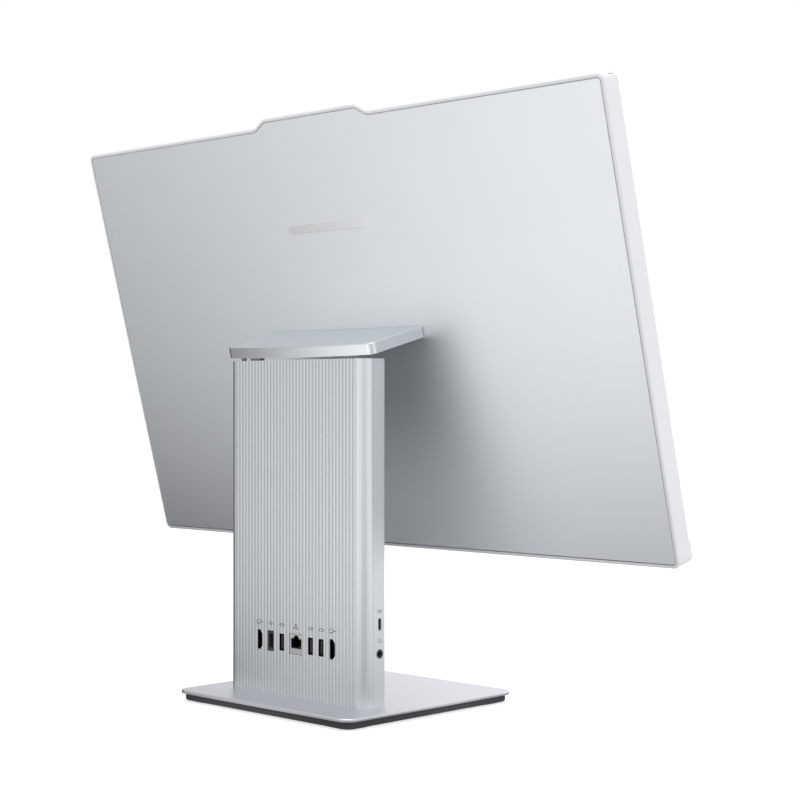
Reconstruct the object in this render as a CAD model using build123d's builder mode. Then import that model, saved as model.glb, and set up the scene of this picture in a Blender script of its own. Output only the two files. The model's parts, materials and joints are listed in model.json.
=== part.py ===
from build123d import *
import math
import os

# All-in-one desktop computer: a slim tilting display carried by a neck on a ribbed column that
# holds the computer, on a flat base. Millimetres. +Z is up, the screen faces -Y and the ports
# face +Y. The origin is the middle of the base's footprint, on the surface that it stands on.
# "Rise" is a distance up the display from its rear panel's centre, and "depth" is a distance
# forward from that panel's skin.

# ------------------------------------------------------------------ driving dimensions

# Base
BASE_WIDTH = 208.0
BASE_DEPTH = 194.0
BASE_CORNER_R = 11.0
PLATE_T = 3.0
TRAY_T = 5.8
TRAY_INSET = 3.6
TRAY_CHAMFER = 1.0
FOOT_SIZE = 27.0
FOOT_PROUD = 1.0
FOOT_INSET = 7.2
FOOT_R = 8.0
FOOT_CHAMFER = 0.5
PLATE_EDGE_R = 1.4
PLATE_LOWER_R = 0.8
RECESS_WIDTH = 136.0
RECESS_DEPTH = 48.0
RECESS_R = 6.0
RECESS_CUT = 1.2

# Column
COLUMN_WIDTH = 164.7
COLUMN_DEPTH = 24.3
COLUMN_HEIGHT = 275.7
COLUMN_REAR_Y = 58.2
COLUMN_REAR_R = 10.0
COLUMN_FRONT_R = 3.0
COLUMN_WALL = 2.2
COLUMN_FRONT_WALL = 1.8
CAVITY_REAR_R = 8.0
CAVITY_FRONT_R = 1.2
RIB_DEPTH = 0.14
REAR_RIBS = 37
CORNER_RIBS = 4
FRONT_OPENING = 150.0
VENT_HEIGHTS = (70.0, 110.0, 229.0)
VENT_PITCH = 4.0
VENT_COUNT = 25
VENT_LENGTH = 30.0
VENT_WIDTH = 1.8
CAP_T = 2.0
CAP_SLOT_Y = 46.5
CAP_SLOT_PITCH = 4.4
CAP_SLOTS = 17
CAP_SLOT_LENGTH = 13.0
CAP_SLOT_WIDTH = 2.4
HINGE_SLOT_Y = 46.6
HINGE_SLOT_DEPTH = 11.6
COLUMN_FOOT_T = 4.0
COLUMN_FOOT_WIDTH = 150.0
COLUMN_FOOT_DEPTH = 16.0
COLUMN_FOOT_Y = 45.6
CHASSIS_FRONT = 35.9
CHASSIS_SHEET = 1.0
CHASSIS_HALF_WIDTH = 76.0
CHASSIS_TOP = 282.0
CHASSIS_VENT_LENGTH = 90.0
CHASSIS_VENT_HEIGHT = 12.0

# Fasteners and fits
SCREW_R = 2.0
SCREW_HEAD_R = 3.8
SCREW_HEAD_T = 2.0
SMALL_SCREW_R = 1.5
SMALL_HEAD_R = 2.8
SMALL_HEAD_T = 1.4
HOLE_GAP = 0.05
RUNNING_GAP = 0.3
ACCESS_GAP = 0.8
HEX_R = 1.3
HEX_DEPTH = 1.2
SMALL_HEX_R = 1.0
SMALL_HEX_DEPTH = 0.8
BASE_SCREWS = [(x, COLUMN_FOOT_Y) for x in (-60.0, -20.0, 20.0, 60.0)]

# Display: a flat slab with a camera bump on its top edge and a deeper chin along its bottom
TILT = 14.6
SEAM_CENTRE_Y = -4.0
SEAM_CENTRE_Z = 304.9
HALF_WIDTH = 304.6
HALF_HEIGHT = 183.5
DISPLAY_T = 16.5
DISPLAY_CORNER_R = 6.0
REAR_EDGE_R = 1.3
SEAM_INSET = 2.6
SEAM_GAP = 0.7
BUMP_HEIGHT = 7.0
BUMP_HALF_TOP = 55.5
BUMP_HALF_FOOT = 68.0
BUMP_FOOT_R = 12.0
BUMP_TOP_R = 8.0
CHIN_HEIGHT = 17.0
CHIN_STEP = 3.4
CHIN_ROUNDING = 2.8
CHIN_INNER_HALF = 300.0
CHIN_FLOOR_RISE = -181.5
CHIN_WALL = 2.0
CHIN_SKIN = 1.6
GRILLE_SLOT_LENGTH = 9.0
GRILLE_SLOT_WIDTH = 2.0

# Layers of the display, as depths forward from its rear skin
BACK_COVER_T = 1.5
FRAME_FLANGE_BACK = 1.7
FRAME_FLANGE_FRONT = 8.9
FRAME_FLANGE_INSET = 8.0
CHASSIS_T = 1.0
BACKLIGHT_T = 4.9
CELL_T = 1.4
LCD_HALF_WIDTH = 303.1
LCD_TOP = 181.9
LCD_BOTTOM = -165.9
TRIM_T = 0.5
TRIM_RISE = 95.0
TRIM_WIDTH = 96.0
TRIM_HEIGHT = 7.0
BEAD_T = 1.5
BEAD_LENGTH = 160.0
BEAD_WIDTH = 10.0
BEAD_PITCH_X = 380.0
BEAD_PITCH_RISE = 110.0

# Camera in the bump, with its sliding shutter
CAMERA_RISE = 186.0
CAMERA_POCKET_BACK = 6.0
CAMERA_HALF_WIDTH = 50.0
CAMERA_HEIGHT = 6.0
CAMERA_BOARD_DEPTH = 8.0
CAMERA_BOARD_T = 1.0
BARREL_R = 2.5
BARREL_LENGTH = 4.6
LENS_R = 1.9
LENS_SEAT = 1.0
LENS_T = 0.9
LENS_EDGE_R = 0.5
BARREL_FOOT_WIDTH = 6.2
BARREL_FOOT_HEIGHT = 5.4
BARREL_FOOT_T = 1.6
MICROPHONE_WIDTH = 4.0
MICROPHONE_HEIGHT = 3.0
MICROPHONE_T = 1.2
MICROPHONE_HOLE_R = 0.5
WINDOW_BACK = 15.2
WINDOW_T = 1.0
WINDOW_HOLE_R = 2.0
MICROPHONE_X = (-32.0, 32.0)
SHUTTER_BACK = 14.2
SHUTTER_T = 0.6
SHUTTER_WIDTH = 12.0
SHUTTER_HEIGHT = 5.0
SHUTTER_X = 9.0
SHUTTER_TRAVEL = 7.0
TAB_X = 12.0
TAB_WIDTH = 3.0
TAB_HEIGHT = 1.4
TAB_PROUD = 0.6
TAB_GROOVE = 0.3

# Power key in the chin's right end
BUTTON_LENGTH = 9.6
BUTTON_WIDTH = 4.2
BUTTON_FLANGE = 1.4
BUTTON_LIP = 1.4
BUTTON_TRAVEL = 0.6
BUTTON_PROUD = 0.6
BUTTON_DEPTH = 9.5
BUTTON_RISE = -174.6
DOME_R = 2.2
DOME_T = 1.6
SWITCH_BOARD_T = 1.0
SWITCH_BOARD_DEPTH = 13.0

# Speakers and controller board
SPEAKER_X = 170.0
SPEAKER_LENGTH = 112.0
SPEAKER_HEIGHT = 12.6
SPEAKER_BACK = 3.2
SPEAKER_T = 13.6
SPEAKER_DEPTH = 10.0
GRILLE_SLOTS = 22
MOUTH_LENGTH = 92.0
MOUTH_WIDTH = 9.0
MOUTH_DEPTH = 1.2
CONE_LENGTH = 38.0
CONE_WIDTH = 7.0
CONE_PITCH = 44.0
CONE_T = 0.6
GRILLE_PITCH = 4.2
DRIVER_BACK = 4.2
DRIVER_T = 1.4
DRIVER_RISE = -110.0
DRIVER_WIDTH = 120.0
DRIVER_HEIGHT = 48.0
DRIVER_SOCKET_X = 40.0
DRIVER_SOCKET_RISE = -96.0
DRIVER_CHIP_T = 1.2
DRIVER_BOSS_R = 2.5
DRIVER_BOSS_INSET = 4.5

# Neck between the display and the column, square to the display
NECK_TOP = 7.6
NECK_T = 9.1
NECK_HALF_WIDTH = 87.5
NECK_START = 0.35
NECK_CORNER_REACH = 60.0
NECK_MIDDLE_REACH = 64.5
NECK_WALL = 1.8
NECK_SKIN = 1.6
ARM_BOTTOM = 1.2
ARM_T = 3.0
ARM_HALF_WIDTH = 64.0
ARM_REACH = 58.0
ARM_SLOT_HALF_WIDTH = 78.0
ARM_SLOT_GAP = 0.7
ARM_HOLE_LENGTH = 70.0
ARM_HOLE_WIDTH = 20.0
NECK_CORNER_R = 6.0
NECK_RIM_R = 1.0
NECK_RIB_T = 1.4
NECK_RIB_LENGTH = 40.0
NECK_RIB_REACH = 22.0
FLANGE_T = 2.0
FLANGE_RISE = 4.0
FLANGE_WIDTH = 156.0
FLANGE_HEIGHT = 80.0
NECK_SCREWS = [(x, rise) for x in (-68.0, 0.0, 68.0) for rise in (-26.0, 34.0)]
COVER_SCREWS = [(x, reach) for x in (-44.0, 44.0) for reach in (12.0, 48.0)]

# Tilt hinge
HINGE_Y = 46.0
HINGE_Z = 277.0
HINGE_X = 56.0
KNUCKLE_R = 6.0
KNUCKLE_WIDTH = 12.0
WEB_T = 5.0
SHAFT_R = 3.0
SHAFT_GAP = 0.05
SHAFT_HEAD_R = 4.4
SHAFT_HEAD_T = 1.6
WASHER_T = 0.5
WASHER_R = 5.6
EAR_T = 3.0
EAR_R = 6.0
EAR_ROOT = 8.0
BRACKET_T = 2.5
BRACKET_WIDTH = 24.0
BRACKET_BOTTOM = 238.0
BRACKET_SCREWS = [
    (side * HINGE_X + dx, z) for side in (-1, 1) for dx in (-7.0, 7.0) for z in (244.0, 256.0)
]

# Display cable, in two lengths that meet at the hinge axis
CABLE_X = 73.0
CABLE_WIDTH = 6.0
CABLE_T = 0.6
CABLE_BOTTOM = 167.0
CABLE_GAP = 1.2
CABLE_DEPTH = 3.2
CABLE_PLUG_WIDTH = 10.0
CABLE_PLUG_HEIGHT = 5.0
CABLE_PLUG_T = 3.8

# Computer inside the column
BOARD_FRONT = 37.9
BOARD_T = 1.6
BOARD_LEFT = -79.5
BOARD_RIGHT = 74.0
BOARD_BOTTOM = 16.0
BOARD_TOP = 194.0
BOARD_SCREWS = [(-72.0, 22.0), (-72.0, 92.0), (-72.0, 188.0), (68.0, 22.0), (68.0, 70.0), (68.0, 188.0)]
PROCESSOR_X = 10.0
PROCESSOR_Z = 154.0
PROCESSOR_T = 1.1
PROCESSOR_WIDTH = 30.0
PROCESSOR_HEIGHT = 25.0
COLD_PLATE_WIDTH = 40.0
COLD_PLATE_HEIGHT = 38.0
INDUCTOR_SIZE = 7.5
INDUCTOR_T = 4.0
INDUCTOR_PITCH = 9.0
CHIP_T = 1.6
PIPE_FRONT = 42.4
PIPE_T = 3.0
PIPE_WIDTH = 8.0
PIPE_LEG_X = -36.5
PIPE_BEND_R = 9.0
FIN_X = 7.0
FIN_BOTTOM = 262.0
FIN_HEIGHT = 11.5
FIN_DEPTH = 9.0
FIN_PITCH = 3.0
FIN_T = 0.8
FIN_BASE_T = 1.0
FINS = 21
FAN_Z = 229.0
FAN_SIZE = 62.0
FAN_FRONT = 38.2
FAN_T = 11.0
FAN_WALL = 1.0
FAN_INTAKE_R = 20.0
REAR_INTAKE_R = 15.0
SPIDER_R = 8.0
SPIDER_ARM = 3.0
FAN_BOSS_R = 3.0
CHAMBER_R = 26.5
PIN_R = 1.5
PIN_GAP = 0.05
ROTOR_R = 24.0
HUB_R = 11.0
ROTOR_GAP = 0.8
BLADES = 31
BLADE_LENGTH = 7.2
BLADE_LEAN = 35.0
BLADE_T = 0.8
MEMORY_X = -30.0
MEMORY_Z = (84.0, 116.0)
MEMORY_LIFT = 2.2
MEMORY_LENGTH = 67.6
MEMORY_HEIGHT = 26.0
MEMORY_T = 1.2
MEMORY_CHIP_T = 1.1
MEMORY_CHIP_WIDTH = 11.0
MEMORY_CHIP_HEIGHT = 13.0
MEMORY_CHIP_PITCH = 15.0
MEMORY_SOCKET_T = 4.4
DRIVE_X = 60.5
DRIVE_Z = 118.0
DRIVE_LENGTH = 80.0
CARD_WIDTH = 22.0
CARD_SOCKET_HEIGHT = 5.0
CARD_LIFT = 1.8
CARD_T = 0.8
DRIVE_CHIP_T = 1.4
WIRELESS_X = -60.0
WIRELESS_Z = 152.0
WIRELESS_LENGTH = 30.0
SHIELD_T = 1.6
CELL_X = -54.0
CELL_Z = 180.0
CELL_R = 10.0
CELL_HEIGHT = 3.2
CELL_FLOOR = 1.0
HOLDER_T = 2.6
HOLDER_WALL = 1.6

# Ports on the rear: heights above the base and distances to the side
PORT_HEIGHT = 44.0
PORT_GAP = 0.25
PORT_SETBACK = 0.3
SIDE_SETBACK = 0.3
SOCKET_DEPTH = 11.0
HDMI_X = (41.5, -46.0)
HDMI_WIDTH = 5.7
HDMI_HEIGHT = 15.8
HDMI_TONGUE_T = 1.1
HDMI_TONGUE_LENGTH = 10.6
HDMI_TONGUE_SETBACK = 2.0
SHELL_WALL = 0.5
DC_X = 28.1
DC_WIDTH = 7.3
DC_HEIGHT = 16.5
DC_SOCKET_WIDTH = 5.0
DC_SOCKET_HEIGHT = 11.4
DC_PIN_SETBACK = 5.2
DC_PIN_R = 0.7
USB_A_X = (14.5, -20.2, -32.7)
USB_A_WIDTH = 5.5
USB_A_HEIGHT = 13.5
USB_A_WALL = 0.35
USB_A_TONGUE_T = 1.8
USB_A_TONGUE_LENGTH = 11.0
USB_A_TONGUE_SHIFT = 0.75
USB_A_TONGUE_SETBACK = 0.8
ETHERNET_X = -2.7
ETHERNET_WIDTH = 15.6
ETHERNET_HEIGHT = 16.5
ETHERNET_LIFT = 0.4
ETHERNET_MOUTH_WIDTH = 12.4
ETHERNET_MOUTH_HEIGHT = 8.0
ETHERNET_DEPTH = 12.0
LATCH_STEP_WIDTH = 6.4
LATCH_STEP_HEIGHT = 1.3
LATCH_WIDTH = 4.0
LATCH_HEIGHT = 2.6
CONTACT_PITCH = 1.02
CONTACT_WIDTH = 0.45
CONTACT_T = 0.7
CONTACT_SETBACK = 5.0

# Ports on the side
SIDE_PORT_DEPTH = 17.1
USB_C_HEIGHT = 65.7
USB_C_LENGTH = 9.9
USB_C_WIDTH = 3.2
USB_C_BODY = 10.5
USB_C_DEPTH = 6.6
USB_C_TONGUE_T = 0.7
USB_C_TONGUE_LENGTH = 6.7
USB_C_TONGUE_SETBACK = 0.6
AUDIO_HEIGHT = 42.3
AUDIO_R = 3.4
AUDIO_BORE_R = 1.8
AUDIO_BORE_LENGTH = 14.0
AUDIO_BACK_WALL = 1.0

# ------------------------------------------------------------------ derived dimensions

TRAY_BOTTOM = FOOT_PROUD
PLATE_BOTTOM = TRAY_BOTTOM + TRAY_T
BASE_TOP = PLATE_BOTTOM + PLATE_T
COLUMN_TOP = BASE_TOP + COLUMN_HEIGHT
COLUMN_FRONT_Y = COLUMN_REAR_Y - COLUMN_DEPTH
CAVITY_HALF_WIDTH = COLUMN_WIDTH / 2 - COLUMN_WALL
CAVITY_REAR = COLUMN_REAR_Y - RIB_DEPTH - COLUMN_WALL
CAVITY_FRONT = COLUMN_FRONT_Y + COLUMN_FRONT_WALL
CHASSIS_REAR = CHASSIS_FRONT + CHASSIS_SHEET
BOARD_REAR = BOARD_FRONT + BOARD_T
PORT_Z = BASE_TOP + PORT_HEIGHT
PORT_FACE = COLUMN_REAR_Y - RIB_DEPTH - PORT_SETBACK
SIDE_PORT_Y = COLUMN_REAR_Y - SIDE_PORT_DEPTH
SIDE_FACE = -COLUMN_WIDTH / 2
USB_C_Z = BASE_TOP + USB_C_HEIGHT
AUDIO_Z = BASE_TOP + AUDIO_HEIGHT
FIN_Z = FIN_BOTTOM + FIN_HEIGHT / 2
NECK_BOTTOM = NECK_TOP - NECK_T
CHIN_CEILING_RISE = LCD_BOTTOM - CHIN_WALL
CHIN_MIDDLE_RISE = (CHIN_FLOOR_RISE + CHIN_CEILING_RISE) / 2
LCD_MIDDLE = (LCD_TOP + LCD_BOTTOM) / 2
LCD_HEIGHT = LCD_TOP - LCD_BOTTOM
LENS_DEPTH = CAMERA_BOARD_DEPTH + CAMERA_BOARD_T + BARREL_LENGTH - LENS_SEAT
FLANGE_BACK = FRAME_FLANGE_FRONT - FLANGE_T
BUTTON_FLANGE_X = CHIN_INNER_HALF - RUNNING_GAP - BUTTON_FLANGE
DOME_TOP_X = BUTTON_FLANGE_X - BUTTON_TRAVEL - RUNNING_GAP
WASHER_START = KNUCKLE_WIDTH / 2 + RUNNING_GAP
EAR_START = WASHER_START + WASHER_T + 0.1
SHAFT_REACH = EAR_START + EAR_T + RUNNING_GAP

SIN_TILT = math.sin(math.radians(TILT))
COS_TILT = math.cos(math.radians(TILT))
SEAM_CENTRE = Vector(0, SEAM_CENTRE_Y, SEAM_CENTRE_Z)
SCREEN_UP = Vector(0, SIN_TILT, COS_TILT)
SCREEN_FRONT = Vector(0, -COS_TILT, SIN_TILT)
SCREEN_BACK = Vector(0, COS_TILT, -SIN_TILT)
REARWARD = Axis(SEAM_CENTRE, SCREEN_BACK)
UPWARD = Axis(SEAM_CENTRE, SCREEN_UP)

# The hinge axis seen from the display: how far below the panel's centre and behind its skin
HINGE_BELOW = -(SIN_TILT * (HINGE_Y - SEAM_CENTRE_Y) + COS_TILT * (HINGE_Z - SEAM_CENTRE_Z))
HINGE_BEHIND = COS_TILT * (HINGE_Y - SEAM_CENTRE_Y) - SIN_TILT * (HINGE_Z - SEAM_CENTRE_Z)

# Centre of the power key on a plane across X
BUTTON_CENTRE = (
    SEAM_CENTRE_Y + SIN_TILT * BUTTON_RISE - COS_TILT * BUTTON_DEPTH,
    SEAM_CENTRE_Z + COS_TILT * BUTTON_RISE + SIN_TILT * BUTTON_DEPTH,
)


# ------------------------------------------------------------------ planes


def level(height):
    """Horizontal plane at a height."""
    return Plane.XY.offset(height)


def upright(y):
    """Vertical plane across the object at that Y. Its normal faces the front."""
    return Plane.XZ.offset(-y)


def sideways(x):
    """Vertical plane along the object at that X. Its normal faces +X."""
    return Plane.YZ.offset(x)


def screen(depth):
    """Plane parallel to the display at that depth. Its normal faces forward."""
    return Plane(origin=SEAM_CENTRE + SCREEN_FRONT * depth, x_dir=(1, 0, 0), z_dir=SCREEN_FRONT)


def neck(rise):
    """Plane square to the display at that rise. Its y axis points rearwards."""
    return Plane(origin=SEAM_CENTRE + SCREEN_UP * rise, x_dir=(1, 0, 0), z_dir=SCREEN_UP)


def hinge_side(x):
    """Plane across the hinge axis. Its x axis points rearwards and its y axis up the display."""
    return Plane(origin=(x, HINGE_Y, HINGE_Z), x_dir=SCREEN_BACK, z_dir=(1, 0, 0))


# ------------------------------------------------------------------ shared outlines


def display_outline(inset):
    """Outline of the display with its camera bump, that far inside the outermost edge."""
    flank = math.atan2(BUMP_HEIGHT, BUMP_HALF_FOOT - BUMP_HALF_TOP)
    narrowing = inset * math.tan(flank / 2)
    side = HALF_WIDTH - inset
    top = HALF_HEIGHT - inset
    right_half = [
        (side, -top),
        (side, top),
        (BUMP_HALF_FOOT - narrowing, top),
        (BUMP_HALF_TOP - narrowing, top + BUMP_HEIGHT),
    ]
    left_half = [(-x, y) for x, y in reversed(right_half)]
    corner_r = DISPLAY_CORNER_R - inset
    radii = [corner_r, corner_r, BUMP_FOOT_R + inset, BUMP_TOP_R - inset]
    with BuildSketch() as outline:
        with BuildLine():
            FilletPolyline(*right_half, *left_half, radius=radii + radii[::-1], close=True)
        make_face()
    return outline.sketch


def neck_outline(inset):
    """Plan of the neck, from the display to its bowed rear edge."""
    side = NECK_HALF_WIDTH - inset
    corner = NECK_CORNER_REACH - inset
    middle = NECK_MIDDLE_REACH - inset
    with BuildSketch() as outline:
        with BuildLine():
            Polyline((-side, corner), (-side, NECK_START), (side, NECK_START), (side, corner))
            ThreePointArc((side, corner), (0, middle), (-side, corner))
        make_face()
        fillet(outline.vertices().group_by(Axis.Y)[-1], radius=NECK_CORNER_R - inset)
    return outline.sketch


def column_outline():
    """Plan of the column: flat front and sides, ribs round the rear corners and along the rear."""
    half = COLUMN_WIDTH / 2
    arc_x = half - COLUMN_REAR_R
    arc_y = COLUMN_REAR_Y - COLUMN_REAR_R
    pitch = 2 * arc_x / REAR_RIBS
    turn = math.pi / 2 / CORNER_RIBS

    def corner_point(side, angle, depth):
        """Point round a rear corner: 0 is on the side, and a quarter turn is on the rear."""
        reach = COLUMN_REAR_R - depth
        return (side * (arc_x + reach * math.cos(angle)), arc_y + reach * math.sin(angle))

    valleys = [corner_point(1, turn * i, RIB_DEPTH) for i in range(CORNER_RIBS)]
    crests = [corner_point(1, turn * (i + 0.5), 0) for i in range(CORNER_RIBS)]
    valleys += [(arc_x - pitch * i, COLUMN_REAR_Y - RIB_DEPTH) for i in range(REAR_RIBS + 1)]
    crests += [(arc_x - pitch * (i + 0.5), COLUMN_REAR_Y) for i in range(REAR_RIBS)]
    valleys += [corner_point(-1, turn * i, RIB_DEPTH) for i in reversed(range(CORNER_RIBS))]
    crests += [corner_point(-1, turn * (i + 0.5), 0) for i in reversed(range(CORNER_RIBS))]
    with BuildSketch() as outline:
        with BuildLine():
            for start, crest, end in zip(valleys, crests, valleys[1:]):
                ThreePointArc(start, crest, end)
            Line(valleys[-1], (-half, arc_y))
            FilletPolyline(
                (-half, arc_y),
                (-half, COLUMN_FRONT_Y),
                (half, COLUMN_FRONT_Y),
                (half, arc_y),
                radius=COLUMN_FRONT_R,
            )
            Line((half, arc_y), valleys[0])
        make_face()
    return outline.sketch


def cavity_outline(gap):
    """Plan of the space inside the column, drawn that far inside its walls."""
    side = CAVITY_HALF_WIDTH - gap
    with BuildSketch() as outline:
        with BuildLine():
            FilletPolyline(
                (side, CAVITY_REAR - gap),
                (-side, CAVITY_REAR - gap),
                (-side, CAVITY_FRONT + gap),
                (side, CAVITY_FRONT + gap),
                radius=[CAVITY_REAR_R, CAVITY_REAR_R, CAVITY_FRONT_R, CAVITY_FRONT_R],
                close=True,
            )
        make_face()
    return outline.sketch


def hdmi_outline(width, height):
    """Upright D-shaped outline with the corners of its -X side cut off."""
    right = width / 2
    top = height / 2
    bevel = 0.12 * width
    cut_in = 0.58 * width
    cut_down = 0.57 * width
    upper = [
        (right, top - bevel),
        (right - bevel, top),
        (right - cut_in, top),
        (-right, top - cut_down),
    ]
    lower = [(x, -y) for x, y in reversed(upper)]
    with BuildSketch() as outline:
        with BuildLine():
            FilletPolyline(*upper, *lower, radius=0.35, close=True)
        make_face()
    return outline.sketch


# ------------------------------------------------------------------ base


def make_base_plate():
    """Metal top plate of the base, with recessed holes for the column's screws."""
    with BuildPart() as base_plate:
        with BuildSketch(level(PLATE_BOTTOM)):
            RectangleRounded(BASE_WIDTH, BASE_DEPTH, BASE_CORNER_R)
        extrude(amount=PLATE_T)
        fillet(base_plate.faces().sort_by(Axis.Z)[-1].edges(), radius=PLATE_EDGE_R)
        fillet(base_plate.faces().sort_by(Axis.Z)[0].edges(), radius=PLATE_LOWER_R)
        with BuildSketch(level(PLATE_BOTTOM)):
            with Locations(*BASE_SCREWS):
                Circle(SCREW_HEAD_R + RUNNING_GAP)
        extrude(amount=SCREW_HEAD_T, mode=Mode.SUBTRACT)
        with BuildSketch(level(PLATE_BOTTOM)):
            with Locations(*BASE_SCREWS):
                Circle(SCREW_R + HOLE_GAP)
        extrude(amount=PLATE_T, mode=Mode.SUBTRACT)
    return base_plate


def make_base_tray():
    """Dark under-tray, tapered towards the table, with access holes and shallow recesses."""
    with BuildPart() as base_tray:
        with BuildSketch(level(TRAY_BOTTOM)):
            RectangleRounded(
                BASE_WIDTH - 2 * TRAY_INSET,
                BASE_DEPTH - 2 * TRAY_INSET,
                BASE_CORNER_R - TRAY_INSET,
            )
        extrude(amount=TRAY_T)
        chamfer(base_tray.faces().sort_by(Axis.Z)[0].edges(), length=TRAY_CHAMFER)
        with BuildSketch(level(TRAY_BOTTOM)):
            with Locations(*BASE_SCREWS):
                Circle(SCREW_HEAD_R + ACCESS_GAP)
        extrude(amount=TRAY_T, mode=Mode.SUBTRACT)
        with BuildSketch(level(TRAY_BOTTOM)):
            with GridLocations(0, BASE_DEPTH / 3, 1, 2):
                RectangleRounded(RECESS_WIDTH, RECESS_DEPTH, RECESS_R)
        extrude(amount=RECESS_CUT, mode=Mode.SUBTRACT)
    return base_tray


def make_foot_pads():
    """Four rubber pads, one in each corner, on which the computer stands."""
    spread_x = BASE_WIDTH - 2 * FOOT_INSET - FOOT_SIZE
    spread_y = BASE_DEPTH - 2 * FOOT_INSET - FOOT_SIZE
    with BuildPart() as foot_pads:
        with BuildSketch(level(0)):
            with GridLocations(spread_x, spread_y, 2, 2):
                RectangleRounded(FOOT_SIZE, FOOT_SIZE, FOOT_R)
        extrude(amount=FOOT_PROUD)
        bottoms = foot_pads.faces().group_by(Axis.Z)[0]
        chamfer(bottoms.edges(), length=FOOT_CHAMFER)
    return foot_pads


def make_base_screws():
    """Screws driven up through the base plate and the column's foot into the chassis."""
    with BuildPart() as base_screws:
        with BuildSketch(level(PLATE_BOTTOM)):
            with Locations(*BASE_SCREWS):
                Circle(SCREW_HEAD_R)
        extrude(amount=SCREW_HEAD_T)
        with BuildSketch(level(PLATE_BOTTOM + SCREW_HEAD_T)):
            with Locations(*BASE_SCREWS):
                Circle(SCREW_R)
        extrude(amount=PLATE_T - SCREW_HEAD_T + COLUMN_FOOT_T + CHASSIS_SHEET)
        with BuildSketch(level(PLATE_BOTTOM)):
            with Locations(*BASE_SCREWS):
                RegularPolygon(HEX_R, 6)
        extrude(amount=HEX_DEPTH, mode=Mode.SUBTRACT)
    return base_screws


# ------------------------------------------------------------------ column structure


def make_column_foot():
    """Steel bar that the base screws pull against."""
    with BuildPart() as column_foot:
        with BuildSketch(level(BASE_TOP)):
            with Locations((0, COLUMN_FOOT_Y)):
                RectangleRounded(COLUMN_FOOT_WIDTH, COLUMN_FOOT_DEPTH, 2)
            with Locations(*BASE_SCREWS):
                Circle(SCREW_R + HOLE_GAP, mode=Mode.SUBTRACT)
        extrude(amount=COLUMN_FOOT_T)
    return column_foot


def make_column_chassis():
    """Folded steel sheet: a tall back for the board, fan and hinge, and a flange on the foot."""
    flange_z = BASE_TOP + COLUMN_FOOT_T
    flange_depth = COLUMN_FOOT_Y + COLUMN_FOOT_DEPTH / 2 - CHASSIS_FRONT
    with BuildPart() as column_chassis:
        with BuildSketch(upright(CHASSIS_REAR)):
            with Locations((0, (flange_z + CHASSIS_TOP) / 2)):
                RectangleRounded(2 * CHASSIS_HALF_WIDTH, CHASSIS_TOP - flange_z, 1.5)
            with Locations((0, FAN_Z)):
                Circle(FAN_INTAKE_R, mode=Mode.SUBTRACT)
            with Locations((0, VENT_HEIGHTS[0]), (0, VENT_HEIGHTS[1])):
                SlotOverall(CHASSIS_VENT_LENGTH, CHASSIS_VENT_HEIGHT, mode=Mode.SUBTRACT)
            with Locations(*BRACKET_SCREWS):
                Circle(SMALL_SCREW_R + HOLE_GAP, mode=Mode.SUBTRACT)
        extrude(amount=CHASSIS_SHEET)
        with BuildSketch(level(flange_z)):
            with Locations((0, CHASSIS_FRONT)):
                Rectangle(
                    2 * CHASSIS_HALF_WIDTH - 4, flange_depth, align=(Align.CENTER, Align.MIN)
                )
            with Locations(*BASE_SCREWS):
                Circle(SCREW_R + HOLE_GAP, mode=Mode.SUBTRACT)
        extrude(amount=CHASSIS_SHEET)
    return column_chassis


def make_column_shell():
    """Ribbed aluminium skin: rear, sides and two front lips, cut out for every port."""
    plan = column_outline()
    cavity = cavity_outline(0)
    hdmi_hole = hdmi_outline(HDMI_WIDTH + 2 * PORT_GAP, HDMI_HEIGHT + 2 * PORT_GAP)
    with BuildPart() as column_shell:
        with BuildSketch(level(BASE_TOP)):
            add(plan)
            add(cavity, mode=Mode.SUBTRACT)
            with Locations((0, COLUMN_FRONT_Y)):
                Rectangle(FRONT_OPENING, 4 * COLUMN_FRONT_WALL, mode=Mode.SUBTRACT)
        extrude(amount=COLUMN_HEIGHT)
        with BuildSketch(upright(COLUMN_REAR_Y + 1)):
            with Locations(*[(x, PORT_Z) for x in HDMI_X]):
                add(hdmi_hole)
            with Locations((DC_X, PORT_Z)):
                RectangleRounded(DC_WIDTH + 2 * PORT_GAP, DC_HEIGHT + 2 * PORT_GAP, 0.8)
            with Locations(*[(x, PORT_Z) for x in USB_A_X]):
                RectangleRounded(USB_A_WIDTH + 2 * PORT_GAP, USB_A_HEIGHT + 2 * PORT_GAP, 0.5)
            with Locations((ETHERNET_X, PORT_Z)):
                Rectangle(ETHERNET_WIDTH + 2 * PORT_GAP, ETHERNET_HEIGHT + 2 * PORT_GAP)
        extrude(amount=COLUMN_REAR_Y + 1 - CAVITY_REAR + 0.5, mode=Mode.SUBTRACT)
        with BuildSketch(sideways(SIDE_FACE - 1)):
            with Locations((SIDE_PORT_Y, USB_C_Z)):
                SlotOverall(USB_C_LENGTH + 2 * PORT_GAP, USB_C_WIDTH + 2 * PORT_GAP, 90)
            with Locations((SIDE_PORT_Y, AUDIO_Z)):
                Circle(AUDIO_R + PORT_GAP)
        extrude(amount=1 + COLUMN_WALL + 0.5, mode=Mode.SUBTRACT)
    return column_shell


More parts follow.
